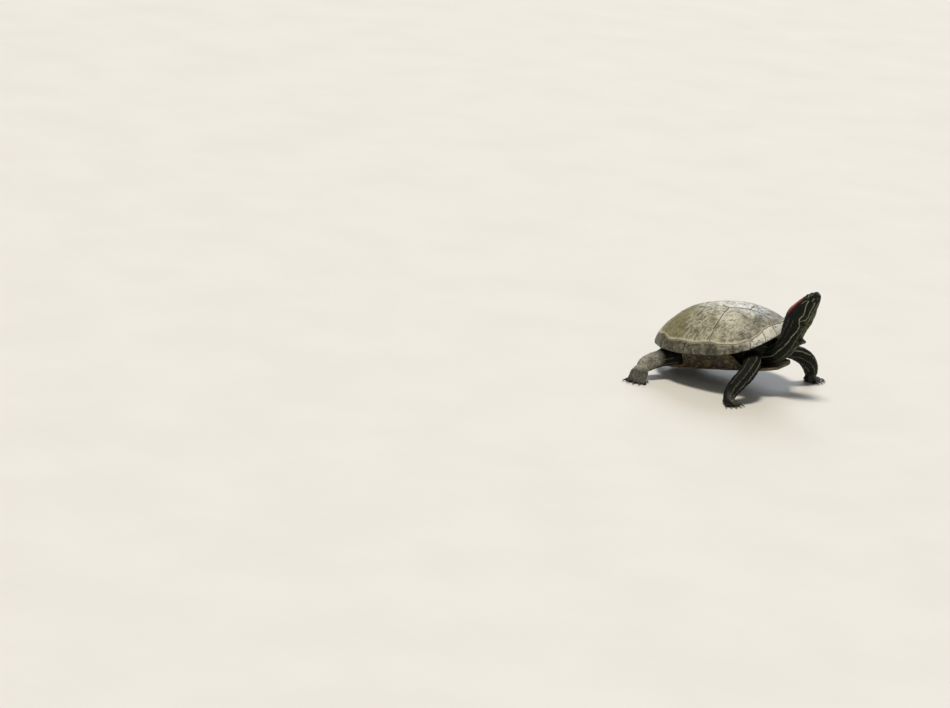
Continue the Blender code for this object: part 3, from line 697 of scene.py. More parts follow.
def split_near(mesh, chosen):
    """Halves the edges of the faces whose corners are all chosen."""
    shape = bmesh.new()
    shape.from_mesh(mesh)
    shape.verts.ensure_lookup_table()
    faces = [face for face in shape.faces if all(chosen[v.index] for v in face.verts)]
    edges = list(dict.fromkeys(edge for face in faces for edge in face.edges))
    bmesh.ops.subdivide_edges(shape, edges=edges, cuts=1, use_grid_fill=True)
    bmesh.ops.triangulate(shape, faces=[face for face in shape.faces if len(face.verts) > 4])
    shape.to_mesh(mesh)
    shape.free()
    mesh.update()


def gaze_directions(side):
    """The eye's own directions: forward along the head, up over it, and out along its gaze."""
    out = unit(ASIDE * EYES[side] + AHEAD * 0.24 + OVER * 0.16)
    up = unit(OVER - out * (OVER @ out))
    return unit(AHEAD - out * (AHEAD @ out) - up * (AHEAD @ up)), up, out


LID_THICK = 0.55 * MM
LID_OPEN = (46.0, 35.0)  # degrees from the gaze to the lids' corners, and to their middles
LIDS_TO = 100  # degrees from the gaze, beyond which the skin stays as it is
LIDS_JOIN = (1.5 * EYE_RADIUS, 1.9 * EYE_RADIUS)  # from the eye's middle, between which the lids join the head
UNDER_LIDS = 1.1 * MM  # how deep in the eyeball the skin lies where the eye shows


def with_lids(points):
    """Draws the skin round each eyeball into lids with an almond opening."""
    points = points.copy()
    for side in EYES:
        forward, up, out = gaze_directions(side)
        away = points - EYE_CENTRES[side]
        far = np.linalg.norm(away, axis=1)
        near = far < LIDS_JOIN[1]
        far = far[near]
        way = away[near] / far[:, None]
        angle = np.degrees(np.arccos(np.clip(way @ out, -1, 1)))
        turn = np.arctan2(way @ up, way @ forward)
        wide, tall = LID_OPEN
        opening = wide * tall / np.hypot(tall * np.cos(turn), wide * np.sin(turn))
        past = angle - (opening - 1.5 * np.sin(turn) ** 2 * np.sign(np.sin(turn)))
        # The lid has a thick edge, a furrow behind it and a round join to the head
        lid = EYE_RADIUS + LID_THICK + 0.18 * MM * hill(past - 3, 4) - 0.30 * MM * hill(past - 17, 5)
        rounded = np.maximum(far, lid) + 0.30 * MM * hill((far - lid) / MM, 0.8) * ease(angle, 40, 70)
        hidden = EYE_RADIUS - UNDER_LIDS
        new = np.where(angle < LIDS_TO, hidden + (rounded - hidden) * ease(past, -1.5, 1.5), far)
        new = far + (new - far) * ease(far, LIDS_JOIN[1], LIDS_JOIN[0])
        points[near] = EYE_CENTRES[side] + way * new[:, None]
    return points


def mouth_height(ahead):
    """The mouth's line over the head's middle line, in mm: it dips, then curls up at the corner."""
    return 7.2 + 0.56 * np.sin((ahead - 27) / 27 * 2 * np.pi) + 0.9 * ease(ahead, 32, 26)


def head_relief(points):
    """How far the head's skin stands out, in mm. Places are in mm along the head's own directions."""
    ahead, over, aside = head_mm(points)
    wide = np.abs(aside)

    def away(place, reach, sideways=wide):
        """Distance from a place, in shares of how far its shape reaches each way."""
        parts = zip((ahead, over, sideways), place, reach)
        return np.sqrt(sum(((at - middle) / far) ** 2 for at, middle, far in parts))

    # The mouth: a groove between two lips, with the beak's ridge over it in front
    off = over - mouth_height(ahead)
    beak = ease(ahead, 40, 46)
    on_jaws = ease(ahead, 25.5, 28.5) * ease(wide, 0.0, 0.6) + ease(ahead, 50, 53)
    on_jaws = np.clip(on_jaws, 0, 1) * (over < 17)
    rise = (0.30 * hill(off - 1.4, 1.0) + 0.16 * hill(off + 1.3, 0.9) - 0.95 * hill(off, 0.42)) * on_jaws
    rise -= 0.20 * hill(off - 3.6, 0.5) * beak * ease(ahead, 44, 47)
    for sideways in (-1.7, 1.7):  # the nostrils, each with a low rim
        near = away((53.2, 15.4, sideways), (1.6, 0.75, 0.75), aside)
        rise += 0.12 * hill(near - 1.45, 0.35) - ease(near, 1.15, 0.45)
    # The ear drum, flat in a raised ring
    drum = np.hypot((ahead - 17.5) / 5.0, (over - 5.5) / 4.4)
    rise += (-0.35 * ease(drum, 1.0, 0.8) + 0.20 * hill(drum - 1.1, 0.13)) * (wide > 8)
    # The hollow before the eye, the brow over it, and the skull's edge and flat top behind them
    rise -= 1.3 * ease(away((47.5, 18.0, 5.6), (3.6, 3.2, 3.0)), 1.5, 0.3)
    rise += 0.9 * ease(away((38.5, 20.5, 6.2), (4.6, 2.6, 2.6)), 1.5, 0.3)
    skull_edge = hill(over - 22.0 + (ahead - 32) * 0.25, 1.3) * (wide > 4)
    rise += 0.35 * skull_edge * ease(ahead, 28, 33) * ease(ahead, 47, 43)
    rise -= 0.30 * hill(aside, 3.2) * (over > 16) * ease(ahead, 20, 30) * ease(ahead, 50, 44)
    # The skin's own unevenness, smooth on the beak, and the folds behind the head
    rise += 0.10 * lumps(points, 2.6 * MM, 11, 2) * (1 - 0.7 * beak)
    folds = lumps(np.stack([ahead, over * 0.33, aside * 0.33], 1) * MM, 1.5 * MM, 12)
    rise += 0.22 * folds * ease(ahead, 24, 8)
    return np.where(ahead > -6, rise, 0.0) * ease(ahead, -6, 2)


def limb_relief(points, places):
    """Folds of loose skin across the limbs, knuckles and the slack round the neck's root, in mm."""
    which, length, angle, distance, _ = places
    around = np.radians(angle)

    def noise(along, across, seed):
        """Lumps on the limb's own surface, from scales along it and round it."""
        return lumps(np.stack([length * along, np.cos(around) * across, np.sin(around) * across], 1), 1.0, seed, 2)

    def grooves(shift, apart, width):
        """1 in grooves round the limb that lie about apart mm from each other, and 0 between them."""
        return hill(1 - np.abs((length + shift) / apart % 1 * 2 - 1), width)

    folds, lengthwise = noise(0.30, distance * 0.13, 21), noise(0.05, 3.2, 22)
    on_neck = ease(length, 122, 104)
    neck = (0.45 * folds + 0.75 * lengthwise * ease(length, 100, 50)) * on_neck
    neck -= 0.55 * grooves(2.5 * np.cos(around * 2) + 3 * folds, 7.5, 0.14) * on_neck * ease(length, 30, 60)
    legs = 0.55 * folds * ease(length, 104, 70) + 0.25 * lengthwise
    legs -= 0.45 * grooves(1.5 * np.sin(around * 2) + 2 * folds, 6.0, 0.16) * ease(length, 106, 80)
    rise = np.where(which == NECK, neck, 0) + np.where((which > NECK) & (which < TAIL), legs, 0)
    rise += np.where(which == TRUNK, 0.9 * lumps(points, 7 * MM, 23, 2), 0)
    return rise + 0.10 * lumps(points, 1.8 * MM, 24, 2)


SWELL = 0.5 * MM
HEAD_FROM = 12  # mm ahead of the head's base, from where its mesh is finer
HIDDEN_TO = 0.72  # share of the shell's half width, inside which nothing of the trunk is seen
SKIN_KEPT = 0.64  # share of the skin's faces left after the hidden trunk is thinned


def thin_hidden(thing):
    """Thins the part of the skin that lies well inside the shell."""
    _, share = polar(points_of(thing.data)[:, :2] - SHIFT[:2])
    group = thing.vertex_groups.new(name="hidden")
    group.add(np.flatnonzero(share < HIDDEN_TO).tolist(), 1.0, "REPLACE")
    thin = thing.modifiers.new("thin", "DECIMATE")
    thin.ratio = SKIN_KEPT
    thin.vertex_group = "hidden"
    mesh = plain_mesh(thing)
    thing.vertex_groups.clear()
    return mesh


def finest(points):
    """Whether each point lies by an eye, on the mouth's line or on the snout's end."""
    ahead, over, _ = head_mm(points)
    from_eye = np.minimum.reduce([np.linalg.norm(points - centre, axis=1) for centre in EYE_CENTRES.values()])
    mouth = (ahead > 25) & (np.abs(over - mouth_height(ahead)) < 1.6)
    return (from_eye < EYE_RADIUS * 1.75) | mouth | ((ahead > 50) & (over > 12))


def build_skin(settings):
    thing = placed("skin", joined_flesh(SWELL))
    cover = thing.modifiers.new("cover", "REMESH")
    cover.mode = "VOXEL"
    cover.voxel_size = settings.voxel
    mesh = plain_mesh(thing)
    set_points(mesh, smoothed(points_of(mesh), edges_of(mesh), settings.smoothing))
    mesh = thin_hidden(thing)
    for chosen in (lambda points: head_mm(points)[0] > HEAD_FROM, finest):
        split_near(mesh, chosen(points_of(mesh)))
        set_points(mesh, smoothed(points_of(mesh), edges_of(mesh), 2))
    points = points_of(mesh)
    rise = head_relief(points) + limb_relief(points, limb_places(points))
    points = with_lids(points + normals_of(mesh) * (rise * MM - (SWELL + settings.depth))[:, None])
    points[:, 2] = np.maximum(points[:, 2], 0)  # keeps the soles out of the floor
    set_points(mesh, points)
    places = limb_places(points)
    add_fields(mesh, **markings(points, places), crest=ease(rise, 0.1, 0.7))
    lay_out(mesh, points, places)
    mesh.shade_smooth()
    mesh.materials.clear()
    mesh.materials.append(skin_look(settings))
    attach(thing, "root")
    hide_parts(*FLESH)


UNWRAP = "OFBake"
TILES = 4  # across the unwrap
PATCH = 0.003  # of the unwrap, for each scale


def lay_out(mesh, points, places):
    """An unwrap of the skin: each limb is slit along one side and laid flat in a tile of its own."""
    which, *_, ahead = places
    loops = read(mesh.loops, "vertex_index")
    starts, counts = (read(mesh.polygons, key) for key in ("loop_start", "loop_total"))
    face_of = np.repeat(np.arange(len(starts)), counts)
    owner = which[loops[starts]][face_of]
    tile = np.empty((len(loops), 2))
    for number in range(TRUNK + 1):
        on = owner == number
        corners = points[loops[on]]
        if number == TRUNK:
            away = corners - points.mean(0)
            turn = np.degrees(np.arctan2(away[:, 1], away[:, 0]))
            reach = np.arctan2(away[:, 2], np.hypot(away[:, 0], away[:, 1])) / math.pi + 0.5
        else:
            _, run, turn, _, _ = along_limb(LIMB_NAMES[number], corners)
            reach = run / SAMPLES[LIMB_NAMES[number]]["length"][-1]
        # A face over the slit keeps to the side of its first corner
        first = np.zeros(len(starts))
        first[face_of[on][::-1]] = turn[::-1]
        turn = turn + 360 * np.round((first[face_of[on]] - turn) / 360)
        column, row = number % TILES, number // TILES
        tile[on, 0] = (column + 0.06 + 0.88 * np.clip(reach, 0, 1)) / TILES
        tile[on, 1] = (row * 2 + 0.10 + 1.8 * (turn / 360 + 0.5)) / TILES
    layer = mesh.uv_layers.new(name=UNWRAP)
    layer.data.foreach_set("uv", tile.astype(np.float32).ravel())
    add_fields(mesh, lie=ahead)


# ---------------------------------------------------------------- scales over the skin


SCALE_SIDES = 6
SCALE_RINGS = ((0.62, 0.17), (1.0, 0.0), (0.96, -0.22))  # radius and height, from the crown to the sunk edge


def scale_plate():
    """One scale, 1 across: a domed six-sided plate, its free end towards +X, sunk a little into the skin."""
    mesh = bpy.data.meshes.new("scale_plate")
    points = [(0.05, 0, 0.20)]
    for radius, height in SCALE_RINGS:
        for k in range(SCALE_SIDES):
            angle = math.radians(360 / SCALE_SIDES * (k + 0.5))
            x, y = math.cos(angle) * radius * 0.5, math.sin(angle) * radius * 0.5
            points.append((x, y, height + 0.10 * x))
    # The last faces would close it below, where the skin hides it
    mesh.from_pydata(points, [], poled_faces(len(SCALE_RINGS), SCALE_SIDES)[:-SCALE_SIDES])
    mesh.shade_smooth()
    return bpy.data.objects.new("scale_plate", mesh)


def scatter_tree():
    """Scales over a skin: spaced out by their size, laid along the limb, each with its own patch of the unwrap."""
    tree = bpy.data.node_groups.new("scatter_scales", "GeometryNodeTree")
    inputs = dict(Geometry="Geometry", Spacing="Float", Length="Float", Breadth="Float", Plate="Object",
                  Look="Material", Seed="Int")
    for name, kind in inputs.items():
        tree.interface.new_socket(name, in_out="INPUT", socket_type="NodeSocket" + kind)
    tree.interface.new_socket("Geometry", in_out="OUTPUT", socket_type="NodeSocketGeometry")
    given = node(tree, "NodeGroupInput").node.outputs
    named, stored = "GeometryNodeInputNamedAttribute", "GeometryNodeStoreNamedAttribute"
    scaled = "ShaderNodeVectorMath"
    vector = dict(data_type="FLOAT_VECTOR")
    area = node(tree, MATH, given["Spacing"], 2.0, operation="POWER")
    dense = node(tree, MATH, 2.2, area, operation="DIVIDE")
    spread = node(tree, "GeometryNodeDistributePointsOnFaces", Mesh=given["Geometry"], Distance_Min=given["Spacing"],
                  Density_Max=dense, Density_Factor=node(tree, named, "cover"), Seed=given["Seed"],
                  distribute_method="POISSON").node.outputs
    roots = node(tree, stored, spread["Points"], Name="root", Value=node(tree, named, UNWRAP, **vector), **vector)
    roots = node(tree, "GeometryNodeRemoveAttribute", roots, Name=UNWRAP)
    turn = node(tree, "FunctionNodeAlignRotationToVector", Rotation=spread["Rotation"],
                Vector=node(tree, named, "lie", **vector), axis="X", pivot_axis="Z")
    vary = node(tree, "FunctionNodeRandomValue", _2=0.86, _3=1.14, _8=given["Seed"], data_type="FLOAT", out=1)
    size = node(tree, "ShaderNodeCombineXYZ", given["Length"], given["Breadth"], given["Length"])
    for share in (vary, node(tree, named, "grow")):
        size = node(tree, scaled, size, Scale=share, operation="SCALE")
    plate = node(tree, "GeometryNodeObjectInfo", given["Plate"], out="Geometry")
    plate = node(tree, stored, plate, Name="leaf", Value=node(tree, "GeometryNodeInputPosition"), **vector)
    copies = node(tree, "GeometryNodeInstanceOnPoints", Points=roots, Instance=plate, Rotation=turn, Scale=size)
    solid = node(tree, "GeometryNodeRealizeInstances", copies)
    leaf, root = (node(tree, named, name, **vector) for name in ("leaf", "root"))
    patch = node(tree, scaled, leaf, (PATCH, PATCH, 0), root, **TIMES_PLUS)
    solid = node(tree, stored, solid, Name=UNWRAP, Value=patch, data_type="FLOAT2", domain="CORNER")
    solid = node(tree, "GeometryNodeSetMaterial", solid, Material=given["Look"])
    node(tree, "NodeGroupOutput", solid, out=None)
    return tree


def scatter_scales(name, skin, cover, grow, spacing, length, breadth, seed, tree, plate):
    """A piece of scales over the skin where cover (0 to 1, per point) is high, as large as grow says."""
    thing = placed(name, skin.data.copy())
    add_fields(thing.data, cover=cover, grow=grow)
    spread = thing.modifiers.new("scales", "NODES")
    spread.node_group = tree
    inputs = {item.name: item.identifier for item in tree.interface.items_tree if item.in_out == "INPUT"}
    given = dict(Spacing=spacing, Length=length, Breadth=breadth, Plate=plate, Look=skin.data.materials[0], Seed=seed)
    for key, value in given.items():
        spread[inputs[key]] = value
    mesh = plain_mesh(thing)
    for key in ("leaf", "root", "lie", "cover", "grow"):
        if key in mesh.attributes:
            mesh.attributes.remove(mesh.attributes[key])
    mesh.shade_smooth()
    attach(thing, "root")


def build_scales(settings):
    skin = bpy.data.objects["skin"]
    points = points_of(skin.data)
    which, length, angle, _, _ = limb_places(points)
    tree, plate = scatter_tree(), scale_plate()
    apart = settings.spacing
    long, broad = apart * 1.42, apart * 1.22
    # Larger over the front of a leg, and smaller on its foot
    leg_grow = 0.72 + 0.55 * ease(np.abs(angle), 120, 30) * ease(length, 30, 60)
    leg_grow = leg_grow * (1 - 0.38 * ease(length, 92, 112))
    off_floor = points[:, 2] > 1.2 * MM
    pieces = [(limb, ease(length, start, start + 14) * off_floor, leg_grow, apart, long, broad)
              for limb, start in ((FORE_RIGHT, 18), (FORE_LEFT, 18), (HIND_RIGHT, 26), (HIND_LEFT, 26))]
    pieces += [
        (NECK, ease(length, 26, 44) * ease(length, 124, 112), np.full(len(points), 0.95),
         apart * 0.92, long * 0.80, broad * 0.85),
        (TAIL, ease(length, 8, 20), 1 - 0.45 * ease(length, 30, 78), apart, long, broad),
    ]
    for seed, (limb, cover, *sizes) in enumerate(pieces, 1):
        scatter_scales("scales_" + LIMB_NAMES[limb], skin, (which == limb) * cover, *sizes, seed, tree, plate)
    bpy.data.objects.remove(plate)
    skin.data.attributes.remove(skin.data.attributes["lie"])
    skin.data.uv_layers.remove(skin.data.uv_layers[UNWRAP])


# ---------------------------------------------------------------- eyes and claws


EYE_ROWS, EYE_AROUND = 40, 56
CORNEA, CORNEA_SPREAD = 0.05, 34  # how far the cornea stands out, as a share, and where it ends, in degrees


def build_eyes(settings):
    look = eye_look(settings)
    tilt, turn = np.meshgrid(np.pi * np.arange(1, EYE_ROWS) / EYE_ROWS,
                             2 * np.pi * np.arange(EYE_AROUND) / EYE_AROUND, indexing="ij")
    rows = np.stack([np.sin(tilt) * np.cos(turn), np.sin(tilt) * np.sin(turn), np.cos(tilt)], -1)
    gaze = np.concatenate([[(0, 0, 1)], rows.reshape(-1, 3), [(0, 0, -1)]])
    off_gaze = np.degrees(np.arccos(gaze[:, 2:]))
    bulge = 1 + CORNEA * np.exp(-((off_gaze / CORNEA_SPREAD) ** 4))
    faces = poled_faces(EYE_ROWS - 1, EYE_AROUND)
    for side in EYES:
        points = EYE_CENTRES[side] + gaze @ np.array(gaze_directions(side)) * EYE_RADIUS * bulge
        sides = faces if EYES[side] > 0 else [face[::-1] for face in faces]
        eye = mesh_piece("eyeball_" + side, points, sides, look, "eye", gaze=gaze)
        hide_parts("eye_" + side)


def build_claws():
    """Each foot's claws: the solids' own curved cones, rounded."""
    look = claw_look()
    for foot in FEET:
        names = sorted(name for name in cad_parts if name.startswith(foot + "_claw_"))
        points, faces, reach = [], [], []
        for name in names:
            holder = placed(name + "_rounded", bpy.data.meshes.new(name + "_rounded"))
            shape = solid_shape(name)
            shape.to_mesh(holder.data)
            shape.free()
            smooth = holder.modifiers.new("rounding", "SUBSURF")
            smooth.levels = smooth.render_levels = 2
            made = plain_mesh(holder)
            place = points_of(made)
            far = np.linalg.norm((place - middle_of(foot))[:, :2], axis=1)
            faces += [[len(points) + v for v in face.vertices] for face in made.polygons]
            points += list(place)
            reach += list((far - far.min()) / (far.max() - far.min()))
            bpy.data.objects.remove(holder)
        claws = mesh_piece("claws_" + foot, points, faces, look, "claw", reach=reach)
        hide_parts(*names)


# ---------------------------------------------------------------- the shell's shape

# As the solids have it, in metres, in the shell's own frame: x to the neck, y to the left, z up from the rim
FRONT_REACH, REAR_REACH, HALF_WIDTH = 0.111, 0.118, 0.0925
DOME_HEIGHT, DOME_SHIFT, DOME_SHOULDER, DOME_DROP = 0.0665, 0.008, 2.4, 0.79
RIM_SQUARENESS, FRONT_RISE, REAR_RISE, RIM_THICK = 0.90, 0.0250, 0.0075, 0.0040
KEEL, KEEL_WIDTH, SHELL_THICK, UNDERSIDE_SHARE = 0.0016, 0.0060, 0.0060, 0.88
SHELL_LIFT, SHELL_PITCH = 0.0650, math.radians(10)


def rim(angle):
    """Points of the rim. Angle 0 is over the neck, and a quarter turn is the left side."""
    forward, left = np.cos(angle), np.sin(angle)
    reach = np.where(forward > 0, FRONT_REACH, REAR_REACH)
    x = reach * np.sign(forward) * np.abs(forward) ** RIM_SQUARENESS
    y = HALF_WIDTH * np.sign(left) * np.abs(left) ** RIM_SQUARENESS
    z = FRONT_RISE * np.maximum(forward, 0) ** 3 + REAR_RISE * np.maximum(-forward, 0) ** 2
    return np.stack([x, y, z], -1)


def dome(angle, share):
    """Points of the dome's outer face, from its top (share 0) out to the rim (share 1)."""
    edge = rim(angle)
    share = np.clip(share, 0, 1)
    x = edge[..., 0] * share + DOME_SHIFT * (1 - share)
    y = edge[..., 1] * share
    z = edge[..., 2] * share ** 3 + DOME_HEIGHT * (1 - share ** DOME_SHOULDER) ** DOME_DROP
    return np.stack([x, y, z + KEEL * hill(y, KEEL_WIDTH) * (1 - share ** 4)], -1)


def polar(plan):
    """The angle and share of places given by x and y in the shell's plan."""
    low, high = np.full(len(plan), 1e-4), np.full(len(plan), 1.3)
    for _ in range(36):
        share = (low + high) / 2
        u, v = (plan[:, 0] - DOME_SHIFT * (1 - share)) / share, plan[:, 1] / share
        u = u / np.where(u > 0, FRONT_REACH, REAR_REACH)
        v = v / HALF_WIDTH
        outside = np.abs(u) ** (2 / RIM_SQUARENESS) + np.abs(v) ** (2 / RIM_SQUARENESS) > 1
        low, high = np.where(outside, share, low), np.where(outside, high, share)
    u, v = (np.sign(part) * np.abs(part) ** (1 / RIM_SQUARENESS) for part in (u, v))
    return np.arctan2(v, u), share


def shell_to_world(points):
    """Lifts and pitches the shell's own frame as the solids are, and moves it with them."""
    x, y, z = points[..., 0], points[..., 1], points[..., 2]
    sine, cosine = math.sin(SHELL_PITCH), math.cos(SHELL_PITCH)
    return np.stack([x * cosine - z * sine, y, x * sine + z * cosine], -1) + SHIFT + np.array([0, 0, SHELL_LIFT])


def dome_over(plan, lift):
    """Points over places of the plan (mm), lift (mm) out from the dome."""
    plan = plan * MM
    step = 0.3 * MM

    def height(move):
        return dome(*polar(plan + np.array(move)))[:, 2]

    out = unit(np.stack([height((-step, 0)) - height((step, 0)), height((0, -step)) - height((0, step)),
                         np.full(len(plan), 2 * step)], 1))
    return np.column_stack([plan, height((0, 0))]) + out * (np.broadcast_to(lift, len(plan)) * MM)[:, None]


# Shares of the way out at which the marginals begin, by degrees from the neck
MARGIN_ANGLES = [0, 10.7, 21, 34.8, 43.5, 51.5, 59.5, 78, 83, 91, 110, 124, 138, 150, 165, 180]
MARGIN_SHARES = [0.930, 0.912, 0.898, 0.940, 0.962, 0.958, 0.962, 0.940, 0.915, 0.933, 0.925, 0.935, 0.912, 0.925,
                 0.915, 0.925]
MARGIN_LENGTHS = [4.5, 27, 52, 79, 108, 137.6, 167, 196.6, 225, 253, 281, 308.5]  # mm round the rim from the neck
# The marginals' section: shares of the way out over the dome, then (share of the rim's reach, mm down) below the rim
OVER_MARGIN = (0, 0.25, 0.5, 0.72, 0.9)
UNDER_MARGIN = ((1.003, 0.6), (1.006, 2.0), (0.997, 3.4), (0.975, 4.0), (0.93, 4.0), (UNDERSIDE_SHARE, 4.0))


def margin_share(angle):
    """Where the costals end and the marginals begin."""
    degrees = np.abs(np.degrees(np.arctan2(np.sin(angle), np.cos(angle))))
    wave = 0.008 * lumps(rim(angle) * np.array([1, 1, 0]), 8 * MM, 41)
    return np.interp(degrees, MARGIN_ANGLES, MARGIN_SHARES) + wave


def margin_profiles(steps=721, rows=64):
    """Sections through the marginals, from the costals over the rim to the underside, by angle and row."""
    angle = np.linspace(-np.pi, np.pi, steps)
    start = margin_share(angle)
    edge = rim(angle)
    knots = [dome(angle, start + (1 - start) * share) for share in OVER_MARGIN]
    for share, drop in UNDER_MARGIN:
        knots.append(edge * np.array([share, share, 0]) + (edge[:, 2:] - drop * MM) * np.array([0, 0, 1.0]))
    knots = np.stack(knots, 1)
    places = np.linspace(0, knots.shape[1] - 1, rows)
    below = np.minimum(places.astype(int), knots.shape[1] - 2)
    part = (places - below)[None, :, None]
    table = knots[:, below] * (1 - part) + knots[:, below + 1] * part
    for _ in range(14):  # rounds the corners off
        table[:, 1:-1] = (table[:, :-2] + 2 * table[:, 1:-1] + table[:, 2:]) / 4
    out = unit(np.cross(np.gradient(table, axis=0), np.gradient(table, axis=1)))
    return table, out * np.sign(out[steps // 2, 4, 2])  # over the neck, near the dome, it points up


PROFILES, PROFILE_NORMALS = margin_profiles()


def looked_up(table, across, along):
    """Values of a table between its rows and columns, both given from 0 to 1."""
    rows, columns = np.clip(across, 0, 1) * (table.shape[0] - 1), np.clip(along, 0, 1) * (table.shape[1] - 1)
    r, c = np.minimum(rows.astype(int), table.shape[0] - 2), np.minimum(columns.astype(int), table.shape[1] - 2)
    fr, fc = (rows - r)[:, None], (columns - c)[:, None]
    upper = table[r, c] * (1 - fc) + table[r, c + 1] * fc
    return upper * (1 - fr) + (table[r + 1, c] * (1 - fc) + table[r + 1, c + 1] * fc) * fr


def margin_over(place, lift):
    """Points of the marginals, at (mm round the rim from the neck, mm down the section), lift (mm) out."""
    degrees = np.interp(place[:, 0], RIM_LENGTHS, RIM_DEGREES)
    across, along = (degrees + 180) / 360, place[:, 1] / MARGIN_RUN
    return looked_up(PROFILES, across, along) + looked_up(PROFILE_NORMALS, across, along) * (lift * MM)[:, None]


MARGIN_RUN = 30.0  # mm down a section, near enough
RIM_DEGREES = np.linspace(-180, 180, 1441)
RIM_LENGTHS = np.r_[0, np.cumsum(np.linalg.norm(np.diff(rim(np.radians(RIM_DEGREES)), axis=0), axis=1))] / MM
RIM_LENGTHS -= RIM_LENGTHS[len(RIM_LENGTHS) // 2]  # so that 0 is over the neck
RIM_LENGTH = RIM_LENGTHS[-1]
BONE_DEPTH = 0.9 * MM  # of the bone under the plates' bare tops
RING_ENDS = (0, 0.18, 0.4, 0.7, 1.1, 1.6, 2.2)  # mm in from a plate's edge, where the rings of its mesh lie
RING_STEP = 0.9  # mm between the rings further in
GROWTH_REACH = 30  # mm of growth from a plate's nucleus that its material counts as 1
SPOT_REACH = 12 * MM  # from a plate's nucleus, that its material counts as 1


def horn_lift(bare, growth, from_edge, turn, mean, number, ridges, rugged):
    """How far a plate's points stand out (mm), and how deep each lies in a growth ring's crease (0 to 1)."""
    wavy = growth + 0.012 * lumps(bare, 9 * MM, number)
    crease = np.zeros(len(bare))
    for k, at in enumerate(ridges):
        deep = 0.55 + 0.45 * lumps(bare, 16 * MM, number * 7 + k)
        crease = np.maximum(crease, deep * hill((wavy - at) * mean, 0.42))
    swells = 0.16 * lumps(bare, 15 * MM, 61)  # from plate to plate
    dents = 0.20 * lumps(bare, 6.5 * MM, number + 3)
    pits = 0.09 * lumps(bare, 1.9 * MM, number + 5, 2)
    outward = np.stack([np.cos(turn) * 9, np.sin(turn) * 9, growth * 1.2 + number], 1)
    spokes = 0.10 * lumps(outward, 1.0, number + 9) * ease(growth, 0.2, 0.6)
    lip = 0.16 * hill(from_edge - 1.7, 0.8)
    rounding = 0.75 * (1 - np.clip(from_edge / 1.1, 0, 1)) ** 2
    return 0.10 - 0.13 * crease + rugged * (swells + dents + pits + spokes) + lip - rounding, crease


def horn_plate(outline, nucleus, over, number, ridges, half_seam, rugged, thick=1.8):
    """One plate of horn: growth rings round its nucleus, a rounded edge and sides that go down into the bone.

    The outline and nucleus are places that over() puts on the shell. It gives points, faces and numbers.
    """
    rays = outline - nucleus
    reach = np.linalg.norm(rays, axis=1)
    inward = 1 - half_seam / reach
    mean = reach.mean()
    ends = [end for end in RING_ENDS if end < mean * 0.5]
    ends += list(np.arange(ends[-1] + RING_STEP, mean - RING_STEP * 0.6, RING_STEP))
    shares = 1 - np.array(ends) / mean
    count = len(outline)
    flat = np.concatenate([nucleus + rays * (inward * share)[:, None] for share in shares] + [nucleus[None]])
    bare = over(flat, np.zeros(len(flat)))
    steps = np.linalg.norm(np.diff(bare[:-1].reshape(len(shares), count, 3), axis=0), axis=2) / MM
    from_edge = np.concatenate([np.zeros((1, count)), np.cumsum(steps, 0)]).ravel()
    whole = np.tile(from_edge.reshape(-1, count)[-1], len(shares)) + 1e-6
    growth = np.r_[1 - from_edge / (whole + RING_STEP), 0.0]
    from_edge = np.r_[from_edge, whole.max()]
    turn = np.r_[np.tile(np.arctan2(rays[:, 1], rays[:, 0]), len(shares)), 0]
    lift, crease = horn_lift(bare, growth, from_edge, turn, mean, number, ridges, rugged)
    skirt = over(flat[:count], np.full(count, -thick))
    bottom = over(nucleus[None], np.array([-thick - 0.4]))
    points = np.concatenate([over(flat, lift), skirt, bottom])
    ring = np.arange(count)
    following = np.roll(ring, -1)
    rows = range(0, (len(shares) - 1) * count, count)
    centre, low, inner = len(flat) - 1, len(flat), (len(shares) - 1) * count
    quads = [np.stack([a + ring, a + following, a + count + following, a + count + ring], 1) for a in rows]
    quads = np.concatenate([*quads, np.stack([low + ring, low + following, following, ring], 1)])
    fans = np.concatenate([np.stack([inner + ring, inner + following, np.full(count, centre)], 1),
                           np.stack([low + following, low + ring, np.full(count, low + count)], 1)])
    sides = np.concatenate([quads[:, :3], quads[:, [0, 2, 3]], fans])
    if np.linalg.det(points[sides] - points.mean(0)).sum() < 0:
        quads, fans = quads[:, ::-1], fans[:, ::-1]
    under = np.zeros(count + 1)
    spot = np.linalg.norm(bare - bare[-1], axis=1) / SPOT_REACH
    numbers = dict(
        growth=np.r_[growth * mean / GROWTH_REACH, under + 1], plate=np.r_[np.full(len(bare), number * 0.137), under],
        edge=np.r_[from_edge, under], crease=np.r_[crease, under + 1], spot=np.r_[spot, under + 1],
    )
    return points, [*quads.tolist(), *fans.tolist()], numbers


def plates_piece(name, plates, look, slot_name, by_place=lambda points: {}):
    """Joins plates into one piece. by_place(points) gives more numbers."""
    placed_points, faces, start = [], [], 0
    for place, sides, _ in plates:
        faces += [[start + v for v in side] for side in sides]
        placed_points.append(place)
        start += len(place)
    points = np.concatenate(placed_points)
    fields = {key: np.concatenate([numbers[key] for _, _, numbers in plates]) for key in plates[0][2]}
    mesh_piece(name, shell_to_world(points), faces, look, slot_name, **fields, **by_place(points))


def drawn(*corners, step=0.8):
    """A line through corners, divided about every step (mm)."""
    line = [np.array(corners[0], float)]
    for a, b in zip(corners[:-1], corners[1:]):
        a, b = np.array(a, float), np.array(b, float)
        parts = max(int(np.linalg.norm(b - a) / step), 1)
        line += [a + (b - a) * (k + 1) / parts for k in range(parts)]
    return np.array(line)


